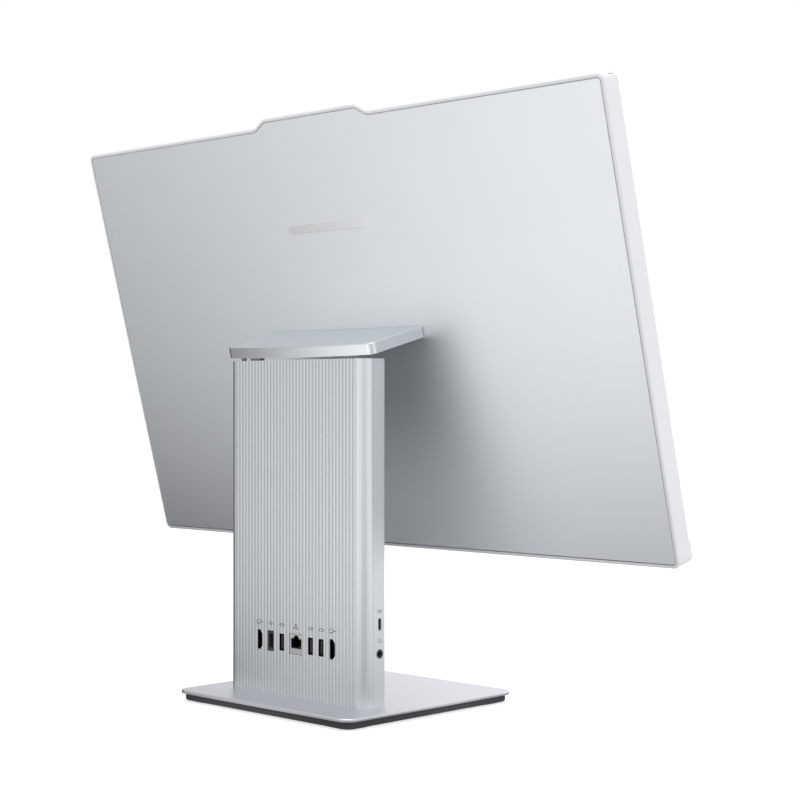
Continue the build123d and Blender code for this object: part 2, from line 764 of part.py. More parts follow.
def make_column_front():
    """Flat front cover between the shell's lips, with three fields of intake slots."""
    with BuildPart() as column_front:
        with BuildSketch(upright(CAVITY_FRONT)):
            with Locations((0, BASE_TOP + COLUMN_HEIGHT / 2)):
                Rectangle(FRONT_OPENING - 2 * RUNNING_GAP, COLUMN_HEIGHT - 2 * RUNNING_GAP)
        extrude(amount=COLUMN_FRONT_WALL)
        fillet(column_front.faces().sort_by(Axis.Y)[0].edges(), radius=0.4)
        with BuildSketch(upright(CAVITY_FRONT)):
            with Locations(*[(0, z) for z in VENT_HEIGHTS]):
                with GridLocations(VENT_PITCH, 0, VENT_COUNT, 1):
                    SlotOverall(VENT_LENGTH, VENT_WIDTH, 90)
        extrude(amount=COLUMN_FRONT_WALL, mode=Mode.SUBTRACT)
    return column_front


def make_column_cap():
    """Dark cap in the column's top: exhaust slots in the middle, hinge slots at the sides."""
    plan = cavity_outline(0.2)
    with BuildPart() as column_cap:
        with BuildSketch(level(COLUMN_TOP - CAP_T)):
            add(plan)
            with Locations((0, CAP_SLOT_Y)):
                with GridLocations(CAP_SLOT_PITCH, 0, CAP_SLOTS, 1):
                    SlotOverall(CAP_SLOT_LENGTH, CAP_SLOT_WIDTH, 90, mode=Mode.SUBTRACT)
            with Locations((-HINGE_X, HINGE_SLOT_Y), (HINGE_X, HINGE_SLOT_Y)):
                RectangleRounded(KNUCKLE_WIDTH + 2, HINGE_SLOT_DEPTH, 1, mode=Mode.SUBTRACT)
            with Locations((CABLE_X, HINGE_Y)):
                Rectangle(CABLE_WIDTH + 2, 7, mode=Mode.SUBTRACT)
        extrude(amount=CAP_T)
    return column_cap


# ------------------------------------------------------------------ tilt hinge


def make_hinge_brackets():
    """Two steel brackets on the chassis, each with a pair of ears round the hinge shaft."""
    plate_rear = CHASSIS_REAR + BRACKET_T
    with BuildPart() as hinge_brackets:
        with BuildSketch(upright(plate_rear)):
            for x in (-HINGE_X, HINGE_X):
                with Locations((x, (BRACKET_BOTTOM + CHASSIS_TOP) / 2)):
                    Rectangle(BRACKET_WIDTH, CHASSIS_TOP - BRACKET_BOTTOM)
            with Locations(*BRACKET_SCREWS):
                Circle(SMALL_SCREW_R + HOLE_GAP, mode=Mode.SUBTRACT)
        extrude(amount=BRACKET_T)
        for x in (-HINGE_X, HINGE_X):
            for ear_start in (x - EAR_START - EAR_T, x + EAR_START):
                with BuildSketch(sideways(ear_start)):
                    with Locations((HINGE_Y, HINGE_Z)):
                        Circle(EAR_R)
                    with Locations((plate_rear, HINGE_Z + EAR_R)):
                        Rectangle(
                            HINGE_Y - plate_rear,
                            2 * EAR_R + EAR_ROOT,
                            align=(Align.MIN, Align.MAX),
                        )
                    with Locations((HINGE_Y, HINGE_Z)):
                        Circle(SHAFT_R + SHAFT_GAP, mode=Mode.SUBTRACT)
                extrude(amount=EAR_T)
    return hinge_brackets


def make_bracket_screws():
    """Screws that hold the hinge brackets to the chassis."""
    plate_rear = CHASSIS_REAR + BRACKET_T
    with BuildPart() as bracket_screws:
        with BuildSketch(upright(plate_rear + SMALL_HEAD_T)):
            with Locations(*BRACKET_SCREWS):
                Circle(SMALL_HEAD_R)
        extrude(amount=SMALL_HEAD_T)
        with BuildSketch(upright(plate_rear)):
            with Locations(*BRACKET_SCREWS):
                Circle(SMALL_SCREW_R)
        extrude(amount=BRACKET_T + CHASSIS_SHEET)
    return bracket_screws


def make_friction_washers():
    """Spring washers beside the knuckles. They hold the display where it is put."""
    with BuildPart() as friction_washers:
        for x in (-HINGE_X, HINGE_X):
            for start in (x - WASHER_START - WASHER_T, x + WASHER_START):
                with BuildSketch(sideways(start)):
                    with Locations((HINGE_Y, HINGE_Z)):
                        Circle(WASHER_R)
                        Circle(SHAFT_R + SHAFT_GAP, mode=Mode.SUBTRACT)
                extrude(amount=WASHER_T)
    return friction_washers


def make_hinge_shafts():
    """Two headed steel shafts, pressed into the knuckles and turning in the ears."""
    with BuildPart() as hinge_shafts:
        for x in (-HINGE_X, HINGE_X):
            with BuildSketch(sideways(x - SHAFT_REACH)):
                with Locations((HINGE_Y, HINGE_Z)):
                    Circle(SHAFT_R)
            extrude(amount=2 * SHAFT_REACH)
            for head_start in (x - SHAFT_REACH - SHAFT_HEAD_T, x + SHAFT_REACH):
                with BuildSketch(sideways(head_start)):
                    with Locations((HINGE_Y, HINGE_Z)):
                        Circle(SHAFT_HEAD_R)
                extrude(amount=SHAFT_HEAD_T)
    return hinge_shafts


def make_neck_arm():
    """Steel arm: a flange inside the display, a flat arm along the neck and two knuckles."""
    arm_start = FLANGE_T / 4 - FRAME_FLANGE_FRONT
    with BuildPart() as neck_arm:
        with BuildSketch(screen(FLANGE_BACK)):
            with Locations((0, FLANGE_RISE)):
                RectangleRounded(FLANGE_WIDTH, FLANGE_HEIGHT, 6)
            with Locations(*NECK_SCREWS):
                Circle(SCREW_R + HOLE_GAP, mode=Mode.SUBTRACT)
        extrude(amount=FLANGE_T)
        with BuildSketch(neck(ARM_BOTTOM)):
            with Locations((0, arm_start)):
                Rectangle(
                    2 * ARM_HALF_WIDTH, ARM_REACH - arm_start, align=(Align.CENTER, Align.MIN)
                )
            with Locations((0, ARM_REACH / 2)):
                SlotOverall(ARM_HOLE_LENGTH, ARM_HOLE_WIDTH, mode=Mode.SUBTRACT)
            with Locations(*COVER_SCREWS):
                Circle(SMALL_SCREW_R + HOLE_GAP, mode=Mode.SUBTRACT)
        extrude(amount=ARM_T)
        for x in (-HINGE_X, HINGE_X):
            with BuildSketch(hinge_side(x - KNUCKLE_WIDTH / 2)):
                Circle(KNUCKLE_R)
                Rectangle(
                    WEB_T, ARM_BOTTOM + HINGE_BELOW + 0.5, align=(Align.CENTER, Align.MIN)
                )
                Circle(SHAFT_R, mode=Mode.SUBTRACT)
            extrude(amount=KNUCKLE_WIDTH)
    return neck_arm


def make_neck_screws():
    """Screws that fasten the arm's flange to the display's chassis."""
    with BuildPart() as neck_screws:
        with BuildSketch(screen(FLANGE_BACK - SCREW_HEAD_T)):
            with Locations(*NECK_SCREWS):
                Circle(SCREW_HEAD_R)
        extrude(amount=SCREW_HEAD_T)
        with BuildSketch(screen(FLANGE_BACK)):
            with Locations(*NECK_SCREWS):
                Circle(SCREW_R)
        extrude(amount=FLANGE_T + CHASSIS_T)
    return neck_screws


def make_neck_cover():
    """Upper cover of the neck: a top skin, a skirt round its free sides and three ribs."""
    outside = neck_outline(0)
    inside = neck_outline(NECK_WALL)
    rib_foot = ARM_BOTTOM + ARM_T
    with BuildPart() as neck_cover:
        with BuildSketch(neck(NECK_BOTTOM)):
            add(outside)
        extrude(amount=NECK_T)
        rim = neck_cover.faces().sort_by(UPWARD)[-1].edges()
        fillet(rim.sort_by(REARWARD)[1:], radius=NECK_RIM_R)
        with BuildSketch(neck(NECK_BOTTOM)):
            add(inside)
        extrude(amount=NECK_T - NECK_SKIN, mode=Mode.SUBTRACT)
        with BuildSketch(neck(rib_foot)):
            with Locations((0, NECK_RIB_REACH)):
                with GridLocations(HINGE_X, 0, 3, 1):
                    Rectangle(NECK_RIB_T, NECK_RIB_LENGTH)
        extrude(amount=NECK_TOP - NECK_SKIN - rib_foot)
    return neck_cover


def make_neck_underside():
    """Lower cover of the neck, with slots for the knuckles' webs and bosses for its screws."""
    plan = neck_outline(NECK_WALL + 0.15)
    with BuildPart() as neck_underside:
        with BuildSketch(neck(NECK_BOTTOM)):
            add(plan)
            with Locations((-HINGE_X, HINGE_BEHIND), (HINGE_X, HINGE_BEHIND)):
                RectangleRounded(KNUCKLE_WIDTH + 1.6, WEB_T + 2, 0.8, mode=Mode.SUBTRACT)
            with Locations((CABLE_X, HINGE_BEHIND)):
                Rectangle(CABLE_WIDTH + 2, 4, mode=Mode.SUBTRACT)
        extrude(amount=NECK_SKIN)
        with BuildSketch(neck(NECK_BOTTOM + NECK_SKIN)):
            with Locations(*COVER_SCREWS):
                Circle(SMALL_HEAD_R + ACCESS_GAP)
        extrude(amount=ARM_BOTTOM - NECK_BOTTOM - NECK_SKIN)
        with BuildSketch(neck(NECK_BOTTOM)):
            with Locations(*COVER_SCREWS):
                Circle(SMALL_SCREW_R + HOLE_GAP)
        extrude(amount=ARM_BOTTOM - NECK_BOTTOM, mode=Mode.SUBTRACT)
        with BuildSketch(neck(NECK_BOTTOM)):
            with Locations(*COVER_SCREWS):
                Circle(SMALL_HEAD_R + 0.1)
        extrude(amount=SMALL_HEAD_T, mode=Mode.SUBTRACT)
    return neck_underside


def make_cover_screws():
    """Flush screws that hold the neck's lower cover to the arm."""
    with BuildPart() as cover_screws:
        with BuildSketch(neck(NECK_BOTTOM)):
            with Locations(*COVER_SCREWS):
                Circle(SMALL_HEAD_R)
        extrude(amount=SMALL_HEAD_T)
        with BuildSketch(neck(NECK_BOTTOM + SMALL_HEAD_T)):
            with Locations(*COVER_SCREWS):
                Circle(SMALL_SCREW_R)
        extrude(amount=ARM_BOTTOM + ARM_T - NECK_BOTTOM - SMALL_HEAD_T)
        with BuildSketch(neck(NECK_BOTTOM)):
            with Locations(*COVER_SCREWS):
                RegularPolygon(SMALL_HEX_R, 6)
        extrude(amount=SMALL_HEX_DEPTH, mode=Mode.SUBTRACT)
    return cover_screws


# ------------------------------------------------------------------ display


def make_display_frame():
    """White middle frame: side walls, rear rim, camera bump, and the chin with its grilles."""
    outer = display_outline(0)
    rebate = display_outline(SEAM_INSET)
    chin_front = DISPLAY_T + CHIN_STEP
    with BuildPart() as display_frame:
        with BuildSketch(screen(0)):
            add(outer)
        extrude(amount=DISPLAY_T)
        with BuildSketch(screen(DISPLAY_T)):
            add(outer)
            with Locations((0, -HALF_HEIGHT)):
                Rectangle(
                    2 * HALF_WIDTH,
                    CHIN_HEIGHT,
                    align=(Align.CENTER, Align.MIN),
                    mode=Mode.INTERSECT,
                )
        extrude(amount=CHIN_STEP)
        fillet(display_frame.faces().sort_by(REARWARD)[-1].edges(), radius=REAR_EDGE_R)
        chin_rim = display_frame.faces().sort_by(REARWARD)[0].edges().sort_by(UPWARD)
        fillet(chin_rim[:-1], radius=CHIN_ROUNDING)
        with BuildSketch(screen(0)):
            add(rebate)
        extrude(amount=FRAME_FLANGE_BACK, mode=Mode.SUBTRACT)
        with BuildSketch(screen(FRAME_FLANGE_BACK)):
            with Locations((0, CHIN_FLOOR_RISE)):
                Rectangle(
                    2 * (HALF_WIDTH - FRAME_FLANGE_INSET),
                    HALF_HEIGHT - FRAME_FLANGE_INSET - CHIN_FLOOR_RISE,
                    align=(Align.CENTER, Align.MIN),
                )
        extrude(amount=FRAME_FLANGE_FRONT - FRAME_FLANGE_BACK, mode=Mode.SUBTRACT)
        with BuildSketch(screen(FRAME_FLANGE_FRONT)):
            with Locations((0, LCD_MIDDLE)):
                Rectangle(2 * LCD_HALF_WIDTH, LCD_HEIGHT)
        extrude(amount=chin_front - FRAME_FLANGE_FRONT, mode=Mode.SUBTRACT)
        with BuildSketch(screen(CAMERA_POCKET_BACK)):
            with Locations((0, CAMERA_RISE)):
                Rectangle(2 * CAMERA_HALF_WIDTH, CAMERA_HEIGHT)
        extrude(amount=DISPLAY_T - CAMERA_POCKET_BACK, mode=Mode.SUBTRACT)
        with BuildSketch(screen(FRAME_FLANGE_BACK)):
            with Locations((0, CHIN_MIDDLE_RISE)):
                Rectangle(2 * CHIN_INNER_HALF, CHIN_CEILING_RISE - CHIN_FLOOR_RISE)
        extrude(amount=chin_front - CHIN_SKIN - FRAME_FLANGE_BACK, mode=Mode.SUBTRACT)
        with BuildSketch(neck(-HALF_HEIGHT)):
            with Locations((-SPEAKER_X, -SPEAKER_DEPTH), (SPEAKER_X, -SPEAKER_DEPTH)):
                with GridLocations(GRILLE_PITCH, 0, GRILLE_SLOTS, 1):
                    SlotOverall(GRILLE_SLOT_LENGTH, GRILLE_SLOT_WIDTH, 90)
        extrude(amount=HALF_HEIGHT + CHIN_FLOOR_RISE, mode=Mode.SUBTRACT)
        with BuildSketch(sideways(CHIN_INNER_HALF)):
            with Locations(BUTTON_CENTRE):
                SlotOverall(
                    BUTTON_LENGTH + 2 * RUNNING_GAP, BUTTON_WIDTH + 2 * RUNNING_GAP, -TILT
                )
        extrude(amount=HALF_WIDTH - CHIN_INNER_HALF, mode=Mode.SUBTRACT)
    return display_frame


def make_back_cover():
    """Metal rear panel, flush inside the frame, with a slot for the neck's arm."""
    plan = display_outline(SEAM_INSET + SEAM_GAP)
    with BuildPart() as back_cover:
        with BuildSketch(screen(0)):
            add(plan)
            with Locations((0, ARM_BOTTOM + ARM_T / 2)):
                Rectangle(2 * ARM_SLOT_HALF_WIDTH, ARM_T + 2 * ARM_SLOT_GAP, mode=Mode.SUBTRACT)
        extrude(amount=BACK_COVER_T)
        rear = back_cover.faces().sort_by(REARWARD)[-1]
        fillet(rear.outer_wire().edges(), radius=0.35)
    return back_cover


def make_back_trim():
    """Plain polished bar on the rear panel."""
    with BuildPart() as back_trim:
        with BuildSketch(screen(-TRIM_T)):
            with Locations((0, TRIM_RISE)):
                SlotOverall(TRIM_WIDTH, TRIM_HEIGHT)
        extrude(amount=TRIM_T)
        fillet(back_trim.faces().sort_by(REARWARD)[-1].edges(), radius=0.2)
    return back_trim


def make_display_chassis():
    """Pressed steel sheet that stiffens the display and takes the neck's screws."""
    with BuildPart() as display_chassis:
        with BuildSketch(screen(FRAME_FLANGE_FRONT)):
            with Locations((0, LCD_MIDDLE)):
                Rectangle(2 * LCD_HALF_WIDTH - 1, LCD_HEIGHT - 1)
            with Locations(*NECK_SCREWS):
                Circle(SCREW_R + HOLE_GAP, mode=Mode.SUBTRACT)
        extrude(amount=CHASSIS_T)
        with BuildSketch(screen(FRAME_FLANGE_FRONT - BEAD_T)):
            with GridLocations(BEAD_PITCH_X, BEAD_PITCH_RISE, 2, 3):
                SlotOverall(BEAD_LENGTH, BEAD_WIDTH)
        extrude(amount=BEAD_T)
    return display_chassis


def make_backlight():
    """Backlight unit: reflector, light guide and films in one flat tray."""
    with BuildPart() as backlight:
        with BuildSketch(screen(FRAME_FLANGE_FRONT + CHASSIS_T)):
            with Locations((0, LCD_MIDDLE)):
                RectangleRounded(2 * LCD_HALF_WIDTH - 0.8, LCD_HEIGHT - 0.8, 2)
        extrude(amount=BACKLIGHT_T)
    return backlight


def make_lcd_panel():
    """Liquid-crystal panel behind its anti-glare glass."""
    with BuildPart() as lcd_panel:
        with BuildSketch(screen(FRAME_FLANGE_FRONT + CHASSIS_T + BACKLIGHT_T)):
            with Locations((0, LCD_MIDDLE)):
                RectangleRounded(2 * LCD_HALF_WIDTH - 0.4, LCD_HEIGHT - 0.4, 2)
        extrude(amount=CELL_T)
        fillet(lcd_panel.faces().sort_by(REARWARD)[0].edges(), radius=0.3)
    return lcd_panel


def make_camera_board():
    """Camera board in the bump, with the lens barrel on it."""
    board_front = CAMERA_BOARD_DEPTH + CAMERA_BOARD_T
    with BuildPart() as camera_board:
        with BuildSketch(screen(CAMERA_POCKET_BACK)):
            with Locations((0, CAMERA_RISE)):
                with GridLocations(2 * CAMERA_HALF_WIDTH - 12, 0, 2, 1):
                    Circle(2)
        extrude(amount=CAMERA_BOARD_DEPTH - CAMERA_POCKET_BACK)
        with BuildSketch(screen(CAMERA_BOARD_DEPTH)):
            with Locations((0, CAMERA_RISE)):
                Rectangle(2 * CAMERA_HALF_WIDTH - 6, CAMERA_HEIGHT - 0.6)
        extrude(amount=CAMERA_BOARD_T)
        with BuildSketch(screen(board_front)):
            with Locations((0, CAMERA_RISE)):
                RectangleRounded(BARREL_FOOT_WIDTH, BARREL_FOOT_HEIGHT, 0.8)
        extrude(amount=BARREL_FOOT_T)
        with BuildSketch(screen(board_front)):
            with Locations((0, CAMERA_RISE)):
                Circle(BARREL_R)
        extrude(amount=BARREL_LENGTH)
        with BuildSketch(screen(LENS_DEPTH)):
            with Locations((0, CAMERA_RISE)):
                Circle(LENS_R + HOLE_GAP)
        extrude(amount=LENS_SEAT, mode=Mode.SUBTRACT)
    return camera_board


def make_camera_lens():
    """Front lens of the camera, rounded off at its rim."""
    with BuildPart() as camera_lens:
        with BuildSketch(screen(LENS_DEPTH)):
            with Locations((0, CAMERA_RISE)):
                Circle(LENS_R)
        extrude(amount=LENS_T)
        fillet(camera_lens.faces().sort_by(REARWARD)[0].edges(), radius=LENS_EDGE_R)
    return camera_lens


def make_camera_window():
    """Dark window strip across the bump: lens hole, two microphone holes and the tab's slot."""
    slot_x = TAB_X - SHUTTER_TRAVEL / 2
    with BuildPart() as camera_window:
        with BuildSketch(screen(WINDOW_BACK)):
            with Locations((0, CAMERA_RISE)):
                Rectangle(2 * CAMERA_HALF_WIDTH - 0.4, CAMERA_HEIGHT - 0.4)
                Circle(WINDOW_HOLE_R, mode=Mode.SUBTRACT)
            with Locations(*[(x, CAMERA_RISE) for x in MICROPHONE_X]):
                Circle(MICROPHONE_HOLE_R, mode=Mode.SUBTRACT)
            with Locations((slot_x, CAMERA_RISE)):
                Rectangle(
                    SHUTTER_TRAVEL + TAB_WIDTH + 0.8, TAB_HEIGHT + 0.6, mode=Mode.SUBTRACT
                )
        extrude(amount=WINDOW_T)
    return camera_window


def make_camera_shutter():
    """Privacy shutter: a thin blade beside the lens, with a grooved tab through the window."""
    tab_front = WINDOW_BACK + WINDOW_T + TAB_PROUD
    blade_front = SHUTTER_BACK + SHUTTER_T
    with BuildPart() as camera_shutter:
        with BuildSketch(screen(SHUTTER_BACK)):
            with Locations((SHUTTER_X, CAMERA_RISE)):
                Rectangle(SHUTTER_WIDTH, SHUTTER_HEIGHT)
        extrude(amount=SHUTTER_T)
        with BuildSketch(screen(blade_front)):
            with Locations((TAB_X, CAMERA_RISE)):
                Rectangle(TAB_WIDTH, TAB_HEIGHT)
        extrude(amount=tab_front - blade_front)
        with BuildSketch(screen(tab_front - TAB_GROOVE)):
            with Locations((TAB_X, CAMERA_RISE)):
                with GridLocations(1.0, 0, 2, 1):
                    Rectangle(TAB_GROOVE, TAB_HEIGHT)
        extrude(amount=TAB_GROOVE, mode=Mode.SUBTRACT)
    return camera_shutter


def make_microphones():
    """Two microphone capsules on the camera board."""
    with BuildPart() as microphones:
        with BuildSketch(screen(CAMERA_BOARD_DEPTH + CAMERA_BOARD_T)):
            with Locations(*[(x, CAMERA_RISE) for x in MICROPHONE_X]):
                RectangleRounded(MICROPHONE_WIDTH, MICROPHONE_HEIGHT, 0.4)
        extrude(amount=MICROPHONE_T)
    return microphones


def make_speaker(side):
    """Speaker box in the chin, with two oval cones facing the slots in its underside."""
    mouth_rise = CHIN_MIDDLE_RISE - SPEAKER_HEIGHT / 2
    with BuildPart() as speaker:
        with BuildSketch(screen(SPEAKER_BACK)):
            with Locations((side * SPEAKER_X, CHIN_MIDDLE_RISE)):
                RectangleRounded(SPEAKER_LENGTH, SPEAKER_HEIGHT, 2)
        extrude(amount=SPEAKER_T)
        with BuildSketch(neck(mouth_rise)):
            with Locations((side * SPEAKER_X, -SPEAKER_DEPTH)):
                SlotOverall(MOUTH_LENGTH, MOUTH_WIDTH)
        extrude(amount=MOUTH_DEPTH, mode=Mode.SUBTRACT)
        with BuildSketch(neck(mouth_rise + MOUTH_DEPTH - CONE_T)):
            with Locations((side * SPEAKER_X, -SPEAKER_DEPTH)):
                with GridLocations(CONE_PITCH, 0, 2, 1):
                    SlotOverall(CONE_LENGTH, CONE_WIDTH)
        extrude(amount=CONE_T)
    return speaker


def make_power_button():
    """Power key in the chin's right end, with a flange that keeps it in."""
    with BuildPart() as power_button:
        with BuildSketch(sideways(BUTTON_FLANGE_X)):
            with Locations(BUTTON_CENTRE):
                SlotOverall(BUTTON_LENGTH + 2 * BUTTON_LIP, BUTTON_WIDTH + 2 * BUTTON_LIP, -TILT)
        extrude(amount=BUTTON_FLANGE)
        with BuildSketch(sideways(BUTTON_FLANGE_X)):
            with Locations(BUTTON_CENTRE):
                SlotOverall(BUTTON_LENGTH, BUTTON_WIDTH, -TILT)
        extrude(amount=HALF_WIDTH + BUTTON_PROUD - BUTTON_FLANGE_X)
        fillet(power_button.faces().sort_by(Axis.X)[-1].edges(), radius=0.35)
    return power_button


def make_power_switch():
    """Small board across the chin, with the dome switch behind the power key."""
    board_height = 2 * (BUTTON_RISE - CHIN_FLOOR_RISE) - 0.4
    with BuildPart() as power_switch:
        with BuildSketch(sideways(DOME_TOP_X - DOME_T - SWITCH_BOARD_T)):
            with Locations(BUTTON_CENTRE):
                Rectangle(SWITCH_BOARD_DEPTH, board_height, -TILT)
        extrude(amount=SWITCH_BOARD_T)
        with BuildSketch(sideways(DOME_TOP_X - DOME_T)):
            with Locations(BUTTON_CENTRE):
                Circle(DOME_R)
        extrude(amount=DOME_T)
        fillet(power_switch.faces().sort_by(Axis.X)[-1].edges(), radius=0.6)
    return power_switch


def make_display_board():
    """Display controller board with its chips and its spacers against the chassis."""
    with BuildPart() as display_board:
        with BuildSketch(screen(DRIVER_BACK)):
            with Locations((0, DRIVER_RISE)):
                RectangleRounded(DRIVER_WIDTH, DRIVER_HEIGHT, 2)
        extrude(amount=DRIVER_T)
        with BuildSketch(screen(DRIVER_BACK + DRIVER_T)):
            with Locations((0, DRIVER_RISE)):
                with GridLocations(
                    DRIVER_WIDTH - 2 * DRIVER_BOSS_INSET, DRIVER_HEIGHT - 2 * DRIVER_BOSS_INSET, 2, 2
                ):
                    Circle(DRIVER_BOSS_R)
        extrude(amount=FRAME_FLANGE_FRONT - DRIVER_BACK - DRIVER_T)
        with BuildSketch(screen(DRIVER_BACK - DRIVER_CHIP_T)):
            with Locations((-30, DRIVER_RISE + 4)):
                Rectangle(16, 16)
            with Locations((8, DRIVER_RISE - 6)):
                Rectangle(11, 9)
            with Locations((DRIVER_SOCKET_X, DRIVER_SOCKET_RISE)):
                Rectangle(20, 7)
        extrude(amount=DRIVER_CHIP_T)
    return display_board


# ------------------------------------------------------------------ computer in the column


def make_mainboard():
    """Main circuit board, notched for the audio jack and drilled for its screws."""
    with BuildPart() as mainboard:
        with BuildSketch(upright(BOARD_REAR)):
            with Locations(((BOARD_LEFT + BOARD_RIGHT) / 2, (BOARD_BOTTOM + BOARD_TOP) / 2)):
                RectangleRounded(BOARD_RIGHT - BOARD_LEFT, BOARD_TOP - BOARD_BOTTOM, 2)
            with Locations((BOARD_LEFT, AUDIO_Z)):
                Rectangle(28, 2 * AUDIO_R + 1, mode=Mode.SUBTRACT)
            with Locations(*BOARD_SCREWS):
                Circle(SMALL_SCREW_R + HOLE_GAP, mode=Mode.SUBTRACT)
        extrude(amount=BOARD_T)
    return mainboard


def make_board_spacers():
    """Threaded spacers between the chassis and the main board."""
    with BuildPart() as board_spacers:
        with BuildSketch(upright(BOARD_FRONT)):
            with Locations(*BOARD_SCREWS):
                Circle(SMALL_HEAD_R)
                Circle(SMALL_SCREW_R + HOLE_GAP, mode=Mode.SUBTRACT)
        extrude(amount=BOARD_FRONT - CHASSIS_REAR)
    return board_spacers


def make_board_screws():
    """Screws that hold the main board on its spacers."""
    with BuildPart() as board_screws:
        with BuildSketch(upright(BOARD_REAR + SMALL_HEAD_T)):
            with Locations(*BOARD_SCREWS):
                Circle(SMALL_HEAD_R)
        extrude(amount=SMALL_HEAD_T)
        with BuildSketch(upright(BOARD_REAR)):
            with Locations(*BOARD_SCREWS):
                Circle(SMALL_SCREW_R)
        extrude(amount=BOARD_REAR - CHASSIS_REAR)
    return board_screws


def make_board_components():
    """Inductors and chips soldered on the main board."""
    with BuildPart() as board_components:
        with BuildSketch(upright(BOARD_REAR + INDUCTOR_T)):
            with Locations((40, 106)):
                with GridLocations(0, INDUCTOR_PITCH, 1, 5):
                    RectangleRounded(INDUCTOR_SIZE, INDUCTOR_SIZE, 0.8)
            with Locations((20, 90)):
                with GridLocations(INDUCTOR_PITCH, 0, 3, 1):
                    RectangleRounded(INDUCTOR_SIZE, INDUCTOR_SIZE, 0.8)
        extrude(amount=INDUCTOR_T)
        with BuildSketch(upright(BOARD_REAR + CHIP_T)):
            with Locations((-20, 180)):
                Rectangle(14, 14)
            with Locations((20, 112)):
                Rectangle(10, 10)
        extrude(amount=CHIP_T)
    return board_components


def make_processor():
    """Processor package, soldered on the board."""
    with BuildPart() as processor:
        with BuildSketch(upright(BOARD_REAR + PROCESSOR_T)):
            with Locations((PROCESSOR_X, PROCESSOR_Z)):
                Rectangle(PROCESSOR_WIDTH, PROCESSOR_HEIGHT)
        extrude(amount=PROCESSOR_T)
    return processor


def make_cold_plate():
    """Copper plate between the processor and the heat pipe."""
    with BuildPart() as cold_plate:
        with BuildSketch(upright(PIPE_FRONT)):
            with Locations((PROCESSOR_X, PROCESSOR_Z)):
                RectangleRounded(COLD_PLATE_WIDTH, COLD_PLATE_HEIGHT, 3)
        extrude(amount=PIPE_FRONT - BOARD_REAR - PROCESSOR_T)
    return cold_plate


def make_heat_pipe():
    """Flattened heat pipe from the processor, past the fan, to the fins."""
    with BuildPart() as heat_pipe:
        with BuildSketch(upright(PIPE_FRONT + PIPE_T)):
            with BuildLine():
                FilletPolyline(
                    (PROCESSOR_X + 18, PROCESSOR_Z),
                    (PIPE_LEG_X, PROCESSOR_Z),
                    (PIPE_LEG_X, FIN_Z),
                    (FIN_X + 28, FIN_Z),
                    radius=PIPE_BEND_R,
                )
            trace(line_width=PIPE_WIDTH)
        extrude(amount=PIPE_T)
    return heat_pipe


def make_fin_stack():
    """Aluminium fins round the end of the heat pipe, in the fan's outlet."""
    with BuildPart() as fin_stack:
        with BuildSketch(upright(PIPE_FRONT)):
            with Locations((FIN_X, FIN_Z)):
                Rectangle((FINS - 1) * FIN_PITCH + FIN_T, FIN_HEIGHT)
        extrude(amount=FIN_BASE_T)
        with BuildSketch(upright(PIPE_FRONT + FIN_DEPTH)):
            with Locations((FIN_X, FIN_Z)):
                with GridLocations(FIN_PITCH, 0, FINS, 1):
                    Rectangle(FIN_T, FIN_HEIGHT)
        extrude(amount=FIN_DEPTH)
        with BuildSketch(upright(PIPE_FRONT + PIPE_T + HOLE_GAP)):
            with Locations((FIN_X, FIN_Z)):
                Rectangle(FINS * FIN_PITCH, PIPE_WIDTH + 2 * HOLE_GAP)
        extrude(amount=PIPE_T + HOLE_GAP, mode=Mode.SUBTRACT)
    return fin_stack


def make_fan_housing():
    """Blower housing: scroll chamber, intakes on both faces, outlet at the top, bearing pin."""
    rear = FAN_FRONT + FAN_T
    with BuildPart() as fan_housing:
        with BuildSketch(upright(rear)):
            with Locations((0, FAN_Z)):
                RectangleRounded(FAN_SIZE, FAN_SIZE, 5)
        extrude(amount=FAN_T)
        with BuildSketch(upright(rear - FAN_WALL)):
            with Locations((0, FAN_Z)):
                Circle(CHAMBER_R)
                Rectangle(
                    2 * CHAMBER_R - 4, FAN_SIZE / 2 + 1, align=(Align.CENTER, Align.MIN)
                )
        extrude(amount=FAN_T - 2 * FAN_WALL, mode=Mode.SUBTRACT)
        with BuildSketch(upright(rear)):
            with Locations((0, FAN_Z)):
                Circle(REAR_INTAKE_R)
        extrude(amount=FAN_WALL, mode=Mode.SUBTRACT)
        with BuildSketch(upright(FAN_FRONT + FAN_WALL)):
            with Locations((0, FAN_Z)):
                Circle(FAN_INTAKE_R - 1)
                Circle(SPIDER_R, mode=Mode.SUBTRACT)
                with PolarLocations(0, 3):
                    Rectangle(FAN_INTAKE_R, SPIDER_ARM, align=(Align.MIN, Align.CENTER), mode=Mode.SUBTRACT)
        extrude(amount=FAN_WALL, mode=Mode.SUBTRACT)
        with BuildSketch(upright(rear - 2 * FAN_WALL)):
            with Locations((0, FAN_Z)):
                Circle(PIN_R)
        extrude(amount=FAN_T - 3 * FAN_WALL)
        with BuildSketch(upright(FAN_FRONT)):
            with Locations((0, FAN_Z)):
                with GridLocations(FAN_SIZE - 8, FAN_SIZE - 8, 2, 2):
                    Circle(FAN_BOSS_R)
        extrude(amount=FAN_FRONT - CHASSIS_REAR)
    return fan_housing


